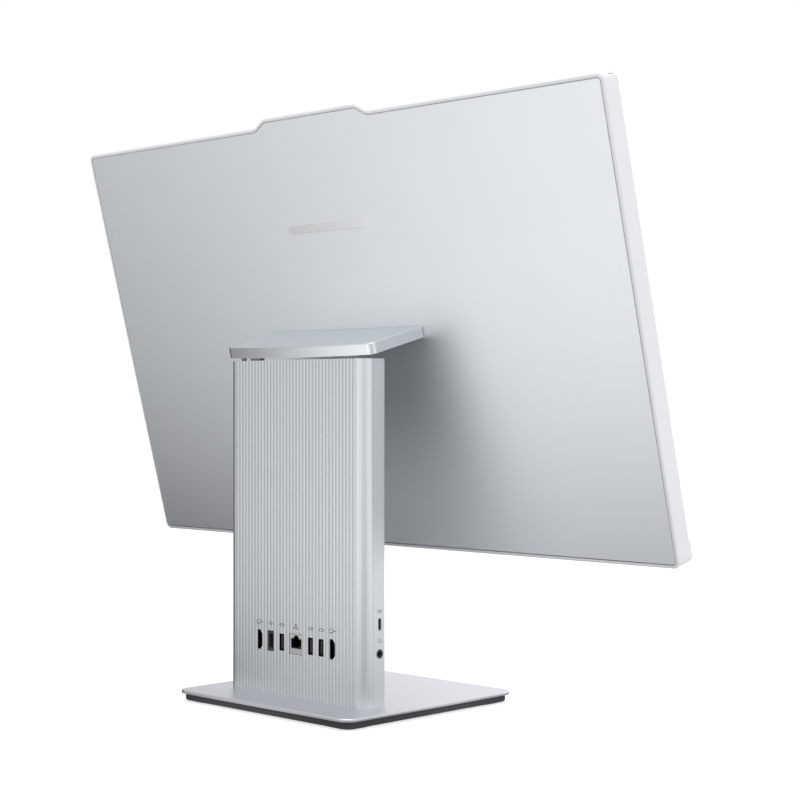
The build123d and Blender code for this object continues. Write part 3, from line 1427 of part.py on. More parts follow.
def make_fan_rotor():
    """Blower wheel: hub on the bearing pin, a thin disc and a ring of leaning blades."""
    rear = FAN_FRONT + FAN_T - FAN_WALL - ROTOR_GAP
    length = FAN_T - 2 * FAN_WALL - 2 * ROTOR_GAP
    with BuildPart() as fan_rotor:
        with BuildSketch(upright(rear)):
            with Locations((0, FAN_Z)):
                Circle(HUB_R)
                with PolarLocations(ROTOR_R - BLADE_LENGTH / 2, BLADES):
                    Rectangle(BLADE_LENGTH, BLADE_T, rotation=BLADE_LEAN)
        extrude(amount=length)
        with BuildSketch(upright(rear - length / 2)):
            with Locations((0, FAN_Z)):
                Circle(ROTOR_R - 0.5)
        extrude(amount=BLADE_T)
        with BuildSketch(upright(rear)):
            with Locations((0, FAN_Z)):
                Circle(PIN_R + PIN_GAP)
        extrude(amount=length, mode=Mode.SUBTRACT)
    return fan_rotor


def make_memory_modules():
    """Two laptop-size memory modules with their chips."""
    board_y = BOARD_REAR + MEMORY_LIFT + MEMORY_T
    with BuildPart() as memory_modules:
        with BuildSketch(upright(board_y)):
            with Locations(*[(MEMORY_X, z) for z in MEMORY_Z]):
                Rectangle(MEMORY_LENGTH, MEMORY_HEIGHT)
        extrude(amount=MEMORY_T)
        with BuildSketch(upright(board_y + MEMORY_CHIP_T)):
            with Locations(*[(MEMORY_X, z + 3) for z in MEMORY_Z]):
                with GridLocations(MEMORY_CHIP_PITCH, 0, 4, 1):
                    Rectangle(MEMORY_CHIP_WIDTH, MEMORY_CHIP_HEIGHT)
        extrude(amount=MEMORY_CHIP_T)
    return memory_modules


def make_memory_sockets():
    """Edge sockets and rests of the memory modules."""
    socket_z = -(MEMORY_HEIGHT + MEMORY_SOCKET_T) / 2 - HOLE_GAP
    with BuildPart() as memory_sockets:
        with BuildSketch(upright(BOARD_REAR + MEMORY_SOCKET_T)):
            with Locations(*[(MEMORY_X, z + socket_z) for z in MEMORY_Z]):
                Rectangle(MEMORY_LENGTH + 3.4, MEMORY_SOCKET_T)
        extrude(amount=MEMORY_SOCKET_T)
        with BuildSketch(upright(BOARD_REAR + MEMORY_LIFT)):
            with Locations(*[(MEMORY_X, z + 8) for z in MEMORY_Z]):
                with GridLocations(60, 0, 2, 1):
                    Rectangle(5, 6)
        extrude(amount=MEMORY_LIFT)
    return memory_sockets


def make_storage_drive():
    """Solid-state drive on an edge socket and a standoff."""
    with BuildPart() as storage_drive:
        with BuildSketch(upright(BOARD_REAR + CARD_LIFT + CARD_T)):
            with Locations((DRIVE_X, DRIVE_Z)):
                Rectangle(CARD_WIDTH, DRIVE_LENGTH)
        extrude(amount=CARD_T)
        with BuildSketch(upright(BOARD_REAR + CARD_LIFT + CARD_T + DRIVE_CHIP_T)):
            with Locations((DRIVE_X, DRIVE_Z + 6)):
                with GridLocations(0, 20, 1, 3):
                    Rectangle(17, 15)
        extrude(amount=DRIVE_CHIP_T)
        with BuildSketch(upright(BOARD_REAR + CARD_LIFT)):
            with Locations((DRIVE_X, DRIVE_Z - 37)):
                Rectangle(CARD_WIDTH, CARD_SOCKET_HEIGHT)
            with Locations((DRIVE_X, DRIVE_Z + 37)):
                Circle(2.5)
        extrude(amount=CARD_LIFT)
    return storage_drive


def make_wireless_card():
    """Wireless card on an edge socket, with its shield and two aerial sockets."""
    with BuildPart() as wireless_card:
        with BuildSketch(upright(BOARD_REAR + CARD_LIFT + CARD_T)):
            with Locations((WIRELESS_X, WIRELESS_Z)):
                Rectangle(CARD_WIDTH, WIRELESS_LENGTH)
        extrude(amount=CARD_T)
        with BuildSketch(upright(BOARD_REAR + CARD_LIFT + CARD_T + SHIELD_T)):
            with Locations((WIRELESS_X, WIRELESS_Z - 2)):
                Rectangle(18, 18)
            with Locations((WIRELESS_X, WIRELESS_Z + 12)):
                with GridLocations(8, 0, 2, 1):
                    Circle(1.3)
        extrude(amount=SHIELD_T)
        with BuildSketch(upright(BOARD_REAR + CARD_LIFT)):
            with Locations((WIRELESS_X, WIRELESS_Z)):
                with GridLocations(0, WIRELESS_LENGTH - CARD_SOCKET_HEIGHT, 1, 2):
                    Rectangle(CARD_WIDTH, CARD_SOCKET_HEIGHT)
        extrude(amount=CARD_LIFT)
    return wireless_card


def make_clock_cell():
    """Coin cell that keeps the clock."""
    with BuildPart() as clock_cell:
        with BuildSketch(upright(BOARD_REAR + CELL_FLOOR + CELL_HEIGHT)):
            with Locations((CELL_X, CELL_Z)):
                Circle(CELL_R)
        extrude(amount=CELL_HEIGHT)
        chamfer(clock_cell.faces().sort_by(Axis.Y)[-1].edges(), length=0.4)
    return clock_cell


def make_cell_holder():
    """Plastic holder under and round the coin cell."""
    with BuildPart() as cell_holder:
        with BuildSketch(upright(BOARD_REAR + HOLDER_T)):
            with Locations((CELL_X, CELL_Z)):
                Circle(CELL_R + HOLDER_WALL)
        extrude(amount=HOLDER_T)
        with BuildSketch(upright(BOARD_REAR + HOLDER_T)):
            with Locations((CELL_X, CELL_Z)):
                Circle(CELL_R + HOLE_GAP)
        extrude(amount=HOLDER_T - CELL_FLOOR, mode=Mode.SUBTRACT)
    return cell_holder


# ------------------------------------------------------------------ ports


def make_hdmi_ports():
    """Shells of the two video ports, standing on the board with their mouths at the rear."""
    outside = hdmi_outline(HDMI_WIDTH, HDMI_HEIGHT)
    inside = hdmi_outline(HDMI_WIDTH - 2 * SHELL_WALL, HDMI_HEIGHT - 2 * SHELL_WALL)
    with BuildPart() as hdmi_ports:
        with BuildSketch(upright(PORT_FACE)):
            with Locations(*[(x, PORT_Z) for x in HDMI_X]):
                add(outside)
        extrude(amount=PORT_FACE - BOARD_REAR)
        with BuildSketch(upright(PORT_FACE)):
            with Locations(*[(x, PORT_Z) for x in HDMI_X]):
                add(inside)
        extrude(amount=SOCKET_DEPTH, mode=Mode.SUBTRACT)
    return hdmi_ports


def make_usb_a_ports():
    """Shells of the three flat serial ports."""
    with BuildPart() as usb_a_ports:
        with BuildSketch(upright(PORT_FACE)):
            with Locations(*[(x, PORT_Z) for x in USB_A_X]):
                RectangleRounded(USB_A_WIDTH, USB_A_HEIGHT, 0.4)
        extrude(amount=PORT_FACE - BOARD_REAR)
        with BuildSketch(upright(PORT_FACE)):
            with Locations(*[(x, PORT_Z) for x in USB_A_X]):
                Rectangle(USB_A_WIDTH - 2 * USB_A_WALL, USB_A_HEIGHT - 2 * USB_A_WALL)
        extrude(amount=SOCKET_DEPTH, mode=Mode.SUBTRACT)
    return usb_a_ports


def make_port_tongues():
    """Contact tongues inside the video ports, the flat serial ports and the oval one."""
    with BuildPart() as port_tongues:
        with BuildSketch(upright(PORT_FACE - HDMI_TONGUE_SETBACK)):
            with Locations(*[(x + 0.3, PORT_Z) for x in HDMI_X]):
                Rectangle(HDMI_TONGUE_T, HDMI_TONGUE_LENGTH)
        extrude(amount=SOCKET_DEPTH - HDMI_TONGUE_SETBACK)
        with BuildSketch(upright(PORT_FACE - USB_A_TONGUE_SETBACK)):
            with Locations(*[(x + USB_A_TONGUE_SHIFT, PORT_Z) for x in USB_A_X]):
                Rectangle(USB_A_TONGUE_T, USB_A_TONGUE_LENGTH)
        extrude(amount=SOCKET_DEPTH - USB_A_TONGUE_SETBACK)
        with BuildSketch(sideways(SIDE_FACE + SIDE_SETBACK + USB_C_TONGUE_SETBACK)):
            with Locations((SIDE_PORT_Y, USB_C_Z)):
                Rectangle(USB_C_TONGUE_T, USB_C_TONGUE_LENGTH)
        extrude(amount=USB_C_DEPTH - USB_C_TONGUE_SETBACK)
    return port_tongues


def make_ethernet_port():
    """Shielded network jack with a stepped latch notch at the top of its socket."""
    mouth_top = PORT_Z + ETHERNET_LIFT + ETHERNET_MOUTH_HEIGHT / 2
    with BuildPart() as ethernet_port:
        with BuildSketch(upright(PORT_FACE)):
            with Locations((ETHERNET_X, PORT_Z)):
                Rectangle(ETHERNET_WIDTH, ETHERNET_HEIGHT)
        extrude(amount=PORT_FACE - BOARD_REAR)
        with BuildSketch(upright(PORT_FACE)):
            with Locations((ETHERNET_X, PORT_Z + ETHERNET_LIFT)):
                Rectangle(ETHERNET_MOUTH_WIDTH, ETHERNET_MOUTH_HEIGHT)
            with Locations((ETHERNET_X, mouth_top)):
                Rectangle(LATCH_STEP_WIDTH, 2 * LATCH_STEP_HEIGHT)
                Rectangle(LATCH_WIDTH, 2 * LATCH_HEIGHT)
        extrude(amount=ETHERNET_DEPTH, mode=Mode.SUBTRACT)
    return ethernet_port


def make_port_contacts():
    """Eight contacts along the bottom of the network socket, and the power inlet's pin."""
    floor_z = PORT_Z + ETHERNET_LIFT - ETHERNET_MOUTH_HEIGHT / 2
    with BuildPart() as port_contacts:
        with BuildSketch(upright(PORT_FACE - CONTACT_SETBACK)):
            with Locations((ETHERNET_X, floor_z + CONTACT_T / 2)):
                with GridLocations(CONTACT_PITCH, 0, 8, 1):
                    Rectangle(CONTACT_WIDTH, CONTACT_T)
        extrude(amount=ETHERNET_DEPTH - CONTACT_SETBACK)
        with BuildSketch(upright(PORT_FACE - DC_PIN_SETBACK)):
            with Locations((DC_X, PORT_Z)):
                Circle(DC_PIN_R)
        extrude(amount=SOCKET_DEPTH - DC_PIN_SETBACK)
    return port_contacts


def make_dc_inlet():
    """Power inlet: dark housing with a flat rectangular socket."""
    with BuildPart() as dc_inlet:
        with BuildSketch(upright(PORT_FACE)):
            with Locations((DC_X, PORT_Z)):
                RectangleRounded(DC_WIDTH, DC_HEIGHT, 0.6)
        extrude(amount=PORT_FACE - BOARD_REAR)
        with BuildSketch(upright(PORT_FACE)):
            with Locations((DC_X, PORT_Z)):
                RectangleRounded(DC_SOCKET_WIDTH, DC_SOCKET_HEIGHT, 0.5)
        extrude(amount=SOCKET_DEPTH, mode=Mode.SUBTRACT)
    return dc_inlet


def make_usb_c_port():
    """Shell of the oval port on the side, lying on the board's edge."""
    mouth = SIDE_FACE + SIDE_SETBACK
    with BuildPart() as usb_c_port:
        with BuildSketch(sideways(mouth)):
            with Locations((SIDE_PORT_Y, USB_C_Z)):
                SlotOverall(USB_C_LENGTH, USB_C_WIDTH, 90)
        extrude(amount=USB_C_BODY)
        with BuildSketch(sideways(mouth)):
            with Locations((SIDE_PORT_Y, USB_C_Z)):
                SlotOverall(USB_C_LENGTH - 0.9, USB_C_WIDTH - 0.6, 90)
        extrude(amount=USB_C_DEPTH, mode=Mode.SUBTRACT)
    return usb_c_port


def make_audio_jack():
    """Headset jack in the board's notch, with its bore open to the side."""
    mouth = SIDE_FACE + SIDE_SETBACK / 2
    body_start = SIDE_FACE + COLUMN_WALL + RUNNING_GAP
    with BuildPart() as audio_jack:
        with BuildSketch(sideways(mouth)):
            with Locations((SIDE_PORT_Y, AUDIO_Z)):
                Circle(AUDIO_R)
        extrude(amount=AUDIO_BORE_LENGTH + AUDIO_BACK_WALL)
        with BuildSketch(sideways(body_start)):
            with Locations((SIDE_PORT_Y, AUDIO_Z)):
                Rectangle(2 * AUDIO_R - 0.6, 2 * AUDIO_R)
        extrude(amount=mouth + AUDIO_BORE_LENGTH + AUDIO_BACK_WALL - body_start)
        with BuildSketch(sideways(mouth)):
            with Locations((SIDE_PORT_Y, AUDIO_Z)):
                Circle(AUDIO_BORE_R)
        extrude(amount=AUDIO_BORE_LENGTH, mode=Mode.SUBTRACT)
    return audio_jack


# ------------------------------------------------------------------ display cable


def make_lower_cable():
    """Display ribbon in the column, from its plug on the board up to the hinge axis."""
    with BuildPart() as display_cable_lower:
        with BuildSketch(sideways(CABLE_X - CABLE_WIDTH / 2)):
            with BuildLine():
                Polyline(
                    (BOARD_REAR + 3.5, CABLE_BOTTOM),
                    (HINGE_Y, CABLE_BOTTOM),
                    (HINGE_Y, HINGE_Z - CABLE_GAP),
                )
            trace(line_width=CABLE_T)
        extrude(amount=CABLE_WIDTH)
        with BuildSketch(upright(BOARD_REAR + CABLE_PLUG_T)):
            with Locations((CABLE_X - 4, CABLE_BOTTOM)):
                Rectangle(CABLE_PLUG_WIDTH, CABLE_PLUG_HEIGHT)
        extrude(amount=CABLE_PLUG_T)
    return display_cable_lower


def make_upper_cable():
    """Display ribbon in the neck, from the hinge axis to the controller board."""
    over_arm = HINGE_BELOW + ARM_BOTTOM + ARM_T / 2
    in_display = -HINGE_BEHIND - CABLE_DEPTH
    side = CABLE_X + CABLE_WIDTH / 2
    board_side = DRIVER_SOCKET_X + 10
    with BuildPart() as display_cable_upper:
        with BuildSketch(hinge_side(CABLE_X - CABLE_WIDTH / 2)):
            with BuildLine():
                Polyline(
                    (0, CABLE_GAP),
                    (0, over_arm),
                    (in_display, over_arm),
                    (in_display, HINGE_BELOW + DRIVER_SOCKET_RISE),
                )
            trace(line_width=CABLE_T)
        extrude(amount=CABLE_WIDTH)
        with BuildSketch(screen(CABLE_DEPTH - CABLE_T / 2)):
            with Locations(((side + board_side) / 2, DRIVER_SOCKET_RISE)):
                Rectangle(side - board_side, CABLE_WIDTH)
        extrude(amount=CABLE_T)
    return display_cable_upper


# ------------------------------------------------------------------ build and export

pieces = {
    "base_plate": make_base_plate(),
    "base_tray": make_base_tray(),
    "foot_pads": make_foot_pads(),
    "base_screws": make_base_screws(),
    "column_foot": make_column_foot(),
    "column_chassis": make_column_chassis(),
    "column_shell": make_column_shell(),
    "column_front": make_column_front(),
    "column_cap": make_column_cap(),
    "hinge_brackets": make_hinge_brackets(),
    "bracket_screws": make_bracket_screws(),
    "friction_washers": make_friction_washers(),
    "hinge_shafts": make_hinge_shafts(),
    "neck_arm": make_neck_arm(),
    "neck_screws": make_neck_screws(),
    "neck_cover": make_neck_cover(),
    "neck_underside": make_neck_underside(),
    "cover_screws": make_cover_screws(),
    "display_frame": make_display_frame(),
    "back_cover": make_back_cover(),
    "back_trim": make_back_trim(),
    "display_chassis": make_display_chassis(),
    "backlight": make_backlight(),
    "lcd_panel": make_lcd_panel(),
    "camera_board": make_camera_board(),
    "camera_lens": make_camera_lens(),
    "camera_window": make_camera_window(),
    "camera_shutter": make_camera_shutter(),
    "microphones": make_microphones(),
    "speaker_left": make_speaker(-1),
    "speaker_right": make_speaker(1),
    "power_button": make_power_button(),
    "power_switch": make_power_switch(),
    "display_board": make_display_board(),
    "mainboard": make_mainboard(),
    "board_spacers": make_board_spacers(),
    "board_screws": make_board_screws(),
    "board_components": make_board_components(),
    "processor": make_processor(),
    "cold_plate": make_cold_plate(),
    "heat_pipe": make_heat_pipe(),
    "fin_stack": make_fin_stack(),
    "fan_housing": make_fan_housing(),
    "fan_rotor": make_fan_rotor(),
    "memory_modules": make_memory_modules(),
    "memory_sockets": make_memory_sockets(),
    "storage_drive": make_storage_drive(),
    "wireless_card": make_wireless_card(),
    "clock_cell": make_clock_cell(),
    "cell_holder": make_cell_holder(),
    "hdmi_ports": make_hdmi_ports(),
    "usb_a_ports": make_usb_a_ports(),
    "ethernet_port": make_ethernet_port(),
    "dc_inlet": make_dc_inlet(),
    "usb_c_port": make_usb_c_port(),
    "audio_jack": make_audio_jack(),
    "port_tongues": make_port_tongues(),
    "port_contacts": make_port_contacts(),
    "display_cable_lower": make_lower_cable(),
    "display_cable_upper": make_upper_cable(),
}

os.makedirs("parts", exist_ok=True)
for name, piece in pieces.items():
    piece.part.label = name
    export_step(piece.part, f"parts/{name}.step")
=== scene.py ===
import json
import math

import bmesh
import bpy
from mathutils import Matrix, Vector
from mathutils.bvhtree import BVHTree


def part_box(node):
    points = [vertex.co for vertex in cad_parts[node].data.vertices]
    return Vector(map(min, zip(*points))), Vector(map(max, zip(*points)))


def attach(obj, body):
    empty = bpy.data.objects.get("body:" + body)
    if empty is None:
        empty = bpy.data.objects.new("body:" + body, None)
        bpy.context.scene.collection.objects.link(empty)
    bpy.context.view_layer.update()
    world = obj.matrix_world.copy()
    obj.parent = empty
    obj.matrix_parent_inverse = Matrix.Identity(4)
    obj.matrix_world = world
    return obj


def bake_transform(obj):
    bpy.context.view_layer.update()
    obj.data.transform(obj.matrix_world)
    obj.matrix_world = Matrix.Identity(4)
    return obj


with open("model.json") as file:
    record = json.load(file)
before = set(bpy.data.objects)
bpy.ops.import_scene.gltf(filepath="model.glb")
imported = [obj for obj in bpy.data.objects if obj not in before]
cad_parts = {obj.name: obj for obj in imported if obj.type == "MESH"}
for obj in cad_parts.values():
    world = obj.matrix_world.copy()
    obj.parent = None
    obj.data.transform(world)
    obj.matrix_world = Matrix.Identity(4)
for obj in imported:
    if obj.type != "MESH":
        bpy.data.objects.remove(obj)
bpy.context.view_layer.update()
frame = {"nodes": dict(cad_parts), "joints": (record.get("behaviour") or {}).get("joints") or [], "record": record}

MM = 0.001
# How far the screen leans back at rest
TILT = math.radians(14.6)
# Directions of the whole object, and of the screen
ACROSS = Vector((1, 0, 0))
REARWARD = Vector((0, 1, 0))
UP = Vector((0, 0, 1))
SCREEN_UP = Vector((0, math.sin(TILT), math.cos(TILT)))
SCREEN_FRONT = Vector((0, -math.cos(TILT), math.sin(TILT)))
# Middle of the seam between the display's frame and its rear panel
SEAM_CENTRE = Vector((0, -4.0, 304.9)) * MM
COLUMN_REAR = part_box("column_shell")[1].y
COLUMN_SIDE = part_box("column_shell")[0].x


# ------------------------------------------------------------------ material building

# Sockets of a colour Mix node, which has several sockets of each name
MIX_FACTOR = 0
MIX_FIRST = 6
MIX_SECOND = 7
MIX_RESULT = 2


class Finish:
    """A procedural material under construction: a Principled shader and what feeds it."""

    def __init__(self, name, colour, roughness, metallic=0.0, **sockets):
        self.material = bpy.data.materials.new(name)
        self.material.use_nodes = True
        self.tree = self.material.node_tree
        self.shader = self.tree.nodes["Principled BSDF"]
        self.colour = colour
        self.shader.inputs["Base Color"].default_value = (*colour, 1)
        self.shader.inputs["Roughness"].default_value = roughness
        self.shader.inputs["Metallic"].default_value = metallic
        for socket, value in sockets.items():
            self.shader.inputs[socket.replace("_", " ")].default_value = value
        self.coordinates = self.tree.nodes.new("ShaderNodeTexCoord").outputs["Object"]

    def node(self, kind, **settings):
        """New node with its settings."""
        made = self.tree.nodes.new("ShaderNode" + kind)
        for key, value in settings.items():
            setattr(made, key, value)
        return made

    def link(self, output, socket):
        """Link from an output to a socket."""
        self.tree.links.new(output, socket)

    def math(self, operation, first, second=None):
        """Result of a sum on outputs and numbers."""
        made = self.node("Math", operation=operation)
        for socket, value in zip(made.inputs, (first, second)):
            if value is None:
                continue
            if isinstance(value, (int, float)):
                socket.default_value = value
            else:
                self.link(value, socket)
        return made.outputs[0]

    def axis(self, name):
        """One object coordinate."""
        split = self.node("SeparateXYZ")
        self.link(self.coordinates, split.inputs[0])
        return split.outputs[name]

    def stretched(self, scale):
        """Object coordinates multiplied by a vector, for grain that runs one way."""
        mapping = self.node("Mapping")
        mapping.inputs["Scale"].default_value = scale
        self.link(self.coordinates, mapping.inputs["Vector"])
        return mapping.outputs[0]

    def noise(self, scale, detail, roughness, coordinates=None):
        """Cloudy pattern between 0 and 1, with its scale per metre."""
        made = self.node("TexNoise")
        made.inputs["Scale"].default_value = scale
        made.inputs["Detail"].default_value = detail
        made.inputs["Roughness"].default_value = roughness
        self.link(coordinates or self.coordinates, made.inputs["Vector"])
        return made.outputs["Fac"]

    def cells(self, scale):
        """Distance to the nearest of many scattered points, with their number per metre."""
        made = self.node("TexVoronoi")
        made.inputs["Scale"].default_value = scale
        self.link(self.coordinates, made.inputs["Vector"])
        return made.outputs["Distance"]

    def tint(self, factor, other, amount=1.0):
        """Mixes another colour in by a factor."""
        base = self.shader.inputs["Base Color"]
        scaled = factor if amount == 1.0 else self.math("MULTIPLY", factor, amount)
        mix = self.node("Mix", data_type="RGBA")
        if base.links:
            self.link(base.links[0].from_socket, mix.inputs[MIX_FIRST])
        else:
            mix.inputs[MIX_FIRST].default_value = (*self.colour, 1)
        mix.inputs[MIX_SECOND].default_value = (*other, 1)
        self.link(scaled, mix.inputs[MIX_FACTOR])
        self.link(mix.outputs[MIX_RESULT], base)

    def rough(self, value, low, high):
        """Roughness from low to high as the value goes from 0 to 1."""
        made = self.node("MapRange")
        made.inputs["To Min"].default_value = low
        made.inputs["To Max"].default_value = high
        self.link(value, made.inputs["Value"])
        self.link(made.outputs["Result"], self.shader.inputs["Roughness"])

    def bump(self, value, strength, distance):
        """Adds a bump layer over the ones before it."""
        made = self.node("Bump")
        made.inputs["Strength"].default_value = strength
        made.inputs["Distance"].default_value = distance
        self.link(value, made.inputs["Height"])
        normal = self.shader.inputs["Normal"]
        if normal.links:
            self.link(normal.links[0].from_socket, made.inputs["Normal"])
        self.link(made.outputs[0], normal)


def shade(colour, factor):
    """A colour made darker or lighter."""
    return tuple(min(channel * factor, 1.0) for channel in colour)


# Grain that runs along one axis, as the scale of the coordinates on each axis
UNSTRETCHED = (1.0, 1.0, 1.0)
ALONG_X = (0.1, 1.0, 1.0)
ALONG_Y = (1.0, 0.1, 1.0)
SHELL_ALONG_Y = (1.0, 0.08, 1.0)
ALONG_Z = (1.0, 1.0, 0.1)
SHEET_ALONG_Z = (1.0, 1.0, 0.05)
TRIM_ALONG_X = (0.04, 1.0, 1.0)


def satin_metal(name, colour, roughness, metallic=1.0, grain=0.25):
    """Fine blasted and anodised metal: a faint cloudiness and a very fine grain."""
    finish = Finish(name, colour, roughness, metallic)
    cloud = finish.noise(scale=9.0, detail=4.0, roughness=0.6)
    fine = finish.noise(scale=2600.0, detail=2.0, roughness=0.6)
    finish.tint(cloud, shade(colour, 0.93), amount=0.5)
    finish.tint(fine, shade(colour, 1.12), amount=0.35)
    both = finish.math("ADD", finish.math("MULTIPLY", fine, 0.5), finish.math("MULTIPLY", cloud, 0.5))
    finish.rough(both, low=roughness - 0.05, high=roughness + 0.05)
    finish.bump(fine, strength=grain, distance=0.04 * MM)
    return finish


def moulded_plastic(name, colour, roughness, texture_scale, depth, **sockets):
    """Moulded plastic: spark-eroded texture, slight colour drift and softly varying gloss."""
    finish = Finish(name, colour, roughness, **sockets)
    drift = finish.noise(scale=14.0, detail=3.0, roughness=0.5)
    grain = finish.noise(scale=texture_scale, detail=3.0, roughness=0.65)
    finish.tint(drift, shade(colour, 0.94), amount=0.6)
    finish.rough(grain, low=roughness - 0.07, high=roughness + 0.07)
    finish.bump(grain, strength=0.35, distance=depth)
    return finish


def brushed_metal(name, colour, roughness, direction):
    """Rolled or turned metal with fine lines along one axis and a little tarnish."""
    finish = Finish(name, colour, roughness, metallic=1.0)
    lines = finish.noise(900.0, detail=3.0, roughness=0.6, coordinates=finish.stretched(direction))
    stain = finish.noise(scale=60.0, detail=4.0, roughness=0.6)
    finish.tint(lines, shade(colour, 0.8), amount=0.5)
    finish.tint(stain, shade(colour, 0.72), amount=0.35)
    finish.rough(lines, low=roughness - 0.08, high=roughness + 0.12)
    finish.bump(lines, strength=0.25, distance=0.02 * MM)
    return finish


def make_rubber():
    """Foot rubber: dull, slightly mottled, with a pebbled grip surface."""
    finish = Finish("rubber_feet", (0.045, 0.045, 0.047), roughness=0.78)
    pebble = finish.cells(scale=700.0)
    dust = finish.noise(scale=45.0, detail=5.0, roughness=0.65)
    finish.tint(dust, (0.11, 0.11, 0.11), amount=0.3)
    finish.rough(dust, low=0.7, high=0.92)
    finish.bump(pebble, strength=0.5, distance=0.12 * MM)
    return finish


# The panel's active area, from its middle
ACTIVE_HALF_WIDTH = 298.95 * MM
ACTIVE_HALF_HEIGHT = 168.15 * MM
ACTIVE_RISE = 8.0 * MM


def make_screen():
    """The panel's anti-glare glass: a black border round a slightly paler active area."""
    coating = {"IOR": 1.34, "Coat_Weight": 0.15, "Coat_Roughness": 0.28}
    finish = Finish("screen_glass", (0.004, 0.004, 0.005), roughness=0.22, **coating)
    offset = finish.node("VectorMath", operation="SUBTRACT")
    offset.inputs[1].default_value = SEAM_CENTRE
    finish.link(finish.coordinates, offset.inputs[0])
    rise = finish.node("VectorMath", operation="DOT_PRODUCT")
    rise.inputs[1].default_value = SCREEN_UP
    finish.link(offset.outputs[0], rise.inputs[0])
    across = finish.math("ABSOLUTE", finish.axis("X"))
    above = finish.math("ABSOLUTE", finish.math("SUBTRACT", rise.outputs["Value"], ACTIVE_RISE))
    inside_width = finish.math("LESS_THAN", across, ACTIVE_HALF_WIDTH)
    inside_height = finish.math("LESS_THAN", above, ACTIVE_HALF_HEIGHT)
    finish.tint(finish.math("MULTIPLY", inside_width, inside_height), (0.013, 0.0135, 0.0155))
    sparkle = finish.noise(scale=4200.0, detail=2.0, roughness=0.7)
    finish.rough(sparkle, low=0.17, high=0.29)
    finish.bump(sparkle, strength=0.12, distance=0.02 * MM)
    return finish


TRACES_PER_METRE = 900.0
TRACE_HALF_SHARE = 0.22
TRACED_ABOVE = 0.5
VIA_RADIUS = 0.12


def make_circuit_board():
    """Solder mask: patches of fine traces in one direction, and scattered vias."""
    finish = Finish("circuit_board", (0.012, 0.055, 0.035), roughness=0.38)
    lane = finish.math("FRACT", finish.math("MULTIPLY", finish.axis("X"), TRACES_PER_METRE))
    from_middle = finish.math("ABSOLUTE", finish.math("SUBTRACT", lane, 0.5))
    trace = finish.math("LESS_THAN", from_middle, TRACE_HALF_SHARE)
    clouds = finish.noise(scale=70.0, detail=1.0, roughness=0.4)
    lines = finish.math("MULTIPLY", trace, finish.math("GREATER_THAN", clouds, TRACED_ABOVE))
    finish.tint(lines, (0.03, 0.12, 0.06), amount=0.8)
    vias = finish.math("LESS_THAN", finish.cells(scale=260.0), VIA_RADIUS)
    finish.tint(vias, (0.5, 0.45, 0.3), amount=0.7)
    finish.bump(lines, strength=0.4, distance=0.03 * MM)
    return finish


def make_trim():
    """Polished trim bar, with faint polishing lines along it."""
    finish = Finish("polished_trim", (0.9, 0.9, 0.92), roughness=0.16, metallic=1.0)
    lines = finish.noise(700.0, detail=2.0, roughness=0.5, coordinates=finish.stretched(TRIM_ALONG_X))
    finish.rough(lines, low=0.1, high=0.24)
    finish.tint(lines, (0.8, 0.8, 0.83), amount=0.4)
    return finish


def make_lens():
    """Coated lens: near black, with a painted violet sheen where it is seen at a glancing angle, standing in for
    the reflection of its coating.
    """
    coating = {"IOR": 1.6, "Coat_Weight": 1.0, "Coat_Roughness": 0.02}
    finish = Finish("lens_glass", (0.006, 0.005, 0.012), roughness=0.04, **coating)
    # Painted sheen: violet is mixed into the colour where the lens is seen at a glancing angle
    layer = finish.node("LayerWeight")
    layer.inputs["Blend"].default_value = 0.4
    finish.tint(layer.outputs["Facing"], (0.05, 0.02, 0.09), amount=0.8)
    return finish


def make_ink():
    """Grey ink of the port symbols."""
    finish = Finish("symbol_ink", (0.13, 0.135, 0.14), roughness=0.55)
    speckle = finish.noise(scale=1800.0, detail=2.0, roughness=0.5)
    finish.tint(speckle, (0.19, 0.195, 0.20), amount=0.7)
    finish.bump(speckle, strength=0.2, distance=0.01 * MM)
    return finish


def make_port_shell(name, axis, face, rim):
    """Port shell: bare nickel-plated steel at its rim, and painted near black past the rim as painted shade deep
    in the mouth.
    """
    finish = Finish(name, (0.60, 0.61, 0.62), roughness=0.36, metallic=1.0)
    depth = finish.math("ABSOLUTE", finish.math("SUBTRACT", finish.axis(axis), face))
    # Painted shade: past the rim the shell is painted near black and not metallic, for the shade deep in the mouth
    painted_shade_inside = finish.math("GREATER_THAN", depth, rim)
    lines = finish.noise(900.0, detail=3.0, roughness=0.6, coordinates=finish.stretched(SHELL_ALONG_Y))
    finish.tint(lines, (0.50, 0.51, 0.52), amount=0.5)
    finish.tint(painted_shade_inside, (0.008, 0.008, 0.009))
    finish.link(finish.math("SUBTRACT", 1.0, painted_shade_inside), finish.shader.inputs["Metallic"])
    finish.rough(lines, low=0.3, high=0.5)
    finish.bump(lines, strength=0.2, distance=0.02 * MM)
    return finish


def make_lamp_window(name, colour):
    """Milky window of a network light."""
    finish = Finish(name, colour, roughness=0.3, Coat_Weight=0.5, Coat_Roughness=0.1)
    haze = finish.noise(scale=900.0, detail=3.0, roughness=0.5)
    finish.tint(haze, shade(colour, 1.2), amount=0.6)
    finish.rough(haze, low=0.22, high=0.38)
    finish.bump(haze, strength=0.15, distance=0.02 * MM)
    return finish


